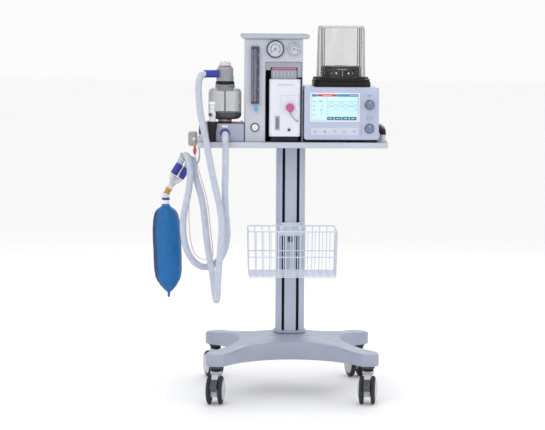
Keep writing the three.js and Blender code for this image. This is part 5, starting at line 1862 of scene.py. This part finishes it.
def make_popoff():
    """Black tapered boot, clear white valve body with a grey side port, and a white top wheel."""
    x, y = -285, -167.5
    here = Matrix.Translation((x, y, 0))
    boot = lathe(
        [
            (0, STAND_Z), (12.3, STAND_Z), (12.6, 919), (12.6, 944), (13.2, 952), (15.8, 970), (17.4, 980),
            (17.5, 988.4), (16.6, 990.2), (0, 990.2),
        ],
        64,
    )
    rings = [ring(12.3, 13.3, 924 + 5 * i, 926 + 5 * i, 48) for i in range(4)]
    piece("popoff_boot", placed(merged(boot, *rings), here), RUBBER, bevel=0.4, replaces=["popoff_valve"])
    body = lathe(
        [
            (0, 990), (12.6, 990), (13, 991), (13, 1000), (11.2, 1003), (11.2, 1008), (12.4, 1011),
            (12.4, 1019), (11, 1023), (8.2, 1028), (8, 1036), (8.6, 1038), (8.6, 1049.6), (0, 1049.6),
        ],
        56,
    )
    piece("popoff_body", placed(body, here), POPOFF_WHITE, sharp=30, bevel=0.3)
    grooves = [ring(8.2, 9.3, 1039 + 3 * i, 1040.2 + 3 * i, 40) for i in range(3)]
    piece("popoff_rings", placed(merged(*grooves), here), WHITE)
    turn = rotation(-118, "Z") @ rotation(90, "Y")
    port = placed(
        lathe([(4.4, 8), (7.2, 8), (7.2, 17.6), (6.6, 18.4), (5, 18.4), (4.4, 17.6), (4.4, 8)], 40),
        Matrix.Translation((x, y, 1015)) @ turn,
    )
    piece("popoff_port", port, SIGHT_GREY, sharp=50)
    # Painted shade: a black disc set in the port's bore stands in for the dark inside.
    bore_shade = placed(disc(4.6, 9, 15, 28), Matrix.Translation((x, y, 1015)) @ turn)
    piece("popoff_port_dark", bore_shade, BLACK)
    cap = lathe(
        [(0, 1050.3), (9.6, 1050.3), (10.8, 1051.4), (11, 1055), (10.4, 1058.4), (8.4, 1060), (0, 1060)],
        56,
    )
    grips = spun(brick(10.2, 11.4, -0.7, 0.7, 1051.4, 1057.6), range(0, 360, 24))
    piece(
        "popoff_wheel", placed(merged(cap, *grips), here), WHITE, "popoff_cap", sharp=30, bevel=0.3,
        replaces=["popoff_knob"],
    )


# ---------- basket ----------


def make_basket():
    """Coated wire basket: close verticals bent in under the floor, two rails, and a thick top rim."""
    half_x, front, back, low, middle, high = 156.2, -248.2, -56.8, 446.8, 517.8, 608.2
    wire, thick = 1.7, 2.3
    taper = 3.0  # how far the floor stands in from the rim
    rails = []
    for z, r in ((high, thick), (middle, thick * 0.85), (low, thick * 0.85)):
        inset = taper * (high - z) / (high - low)
        outline = rounded(-half_x + inset, half_x - inset, front + inset, back - inset, 9, 5)
        rails.append(tube([(x, y, z) for x, y in outline], r, 12, closed=True))
    uprights = []
    count_x, count_y = 12, 7
    for i in range(1, count_x):
        share = i / count_x
        x0, x1 = -half_x + 2 * half_x * share, (half_x - taper) * (2 * share - 1)
        y_front, y_back = front - 1.2, back + 1.2
        route = [
            (x0, y_front + 1.2, high + 1), (x0, y_front, high - 3), (x1, y_front + taper, low + 4),
            (x1, y_front + taper + 4, low - 1.0),
        ]
        route += [
            (x1, y_back - taper - 4, low - 1.0), (x1, y_back - taper, low + 4), (x0, y_back, high - 3),
            (x0, y_back - 1.2, high + 1),
        ]
        uprights.append(tube(bent(route), wire, 8))
    for i in range(1, count_y):
        share = i / count_y
        y = front + (back - front) * share
        for side in (-1, 1):
            x_high, x_low = side * (half_x + 1.2), side * (half_x + 1.2 - taper)
            route = [
                (x_high - side * 1.2, y, high + 1), (x_high, y, high - 3), (x_low, y, low + 4),
                (x_low - side * 4, y, low + 1.4),
            ]
            uprights.append(tube(bent(route), wire, 8))
        floor_x = half_x - taper - 3
        uprights.append(tube([(-floor_x, y, low + 1.4), (floor_x, y, low + 1.4)], wire, 8))
    nodes = ["basket_front", "basket_back", "basket_left", "basket_right", "basket_floor"]
    piece("basket_wires", merged(*rails, *uprights), WIRE_COAT, "basket", sharp=60, replaces=nodes)

    clamp = slab_y(rounded(-46, 46, 569, 618, 5, 6), -41, -36.2)
    wings = [brick(side * 34 - 6, side * 34 + 6, -57.4, -40, 596, 611) for side in (-1, 1)]
    lower = [brick(side * 34 - 4, side * 34 + 4, -57.4, -40.4, 578, 597) for side in (-1, 1)]
    piece("basket_plate", merged(clamp, *wings, *lower), WIRE_COAT, "basket", bevel=1.2, segments=3)
    screws = [
        placed(lathe([(0, 0), (4, 0), (4, 1), (2.8, 2.2), (0, 2.4)], 20), on_front(x, -41, 612))
        for x in (-38, 38)
    ]
    piece("basket_screws", merged(*screws), STEEL, "basket")
    knob = placed(turn_knob(10.8, 11.6, 8), on_front(0, -36.2, 556))
    piece("clamp_knob", knob, GREEN, "basket_clamp", bevel=0.4, replaces=["basket_knob"])


def bent(route, r=5):
    """The route with each corner rounded off."""
    points = [Vector(p) for p in route]
    path = [points[0]]
    for before, corner, after in zip(points, points[1:], points[2:]):
        back = (before - corner).normalized() * min(r, (before - corner).length * 0.45)
        ahead = (after - corner).normalized() * min(r, (after - corner).length * 0.45)
        for i in range(4):
            t = i / 3
            path.append((1 - t) ** 2 * (corner + back) + 2 * t * (1 - t) * corner + t * t * (corner + ahead))
    return path + [points[-1]]


make_circuit_block()
make_canister()
make_valve_head()
make_popoff()
make_basket()
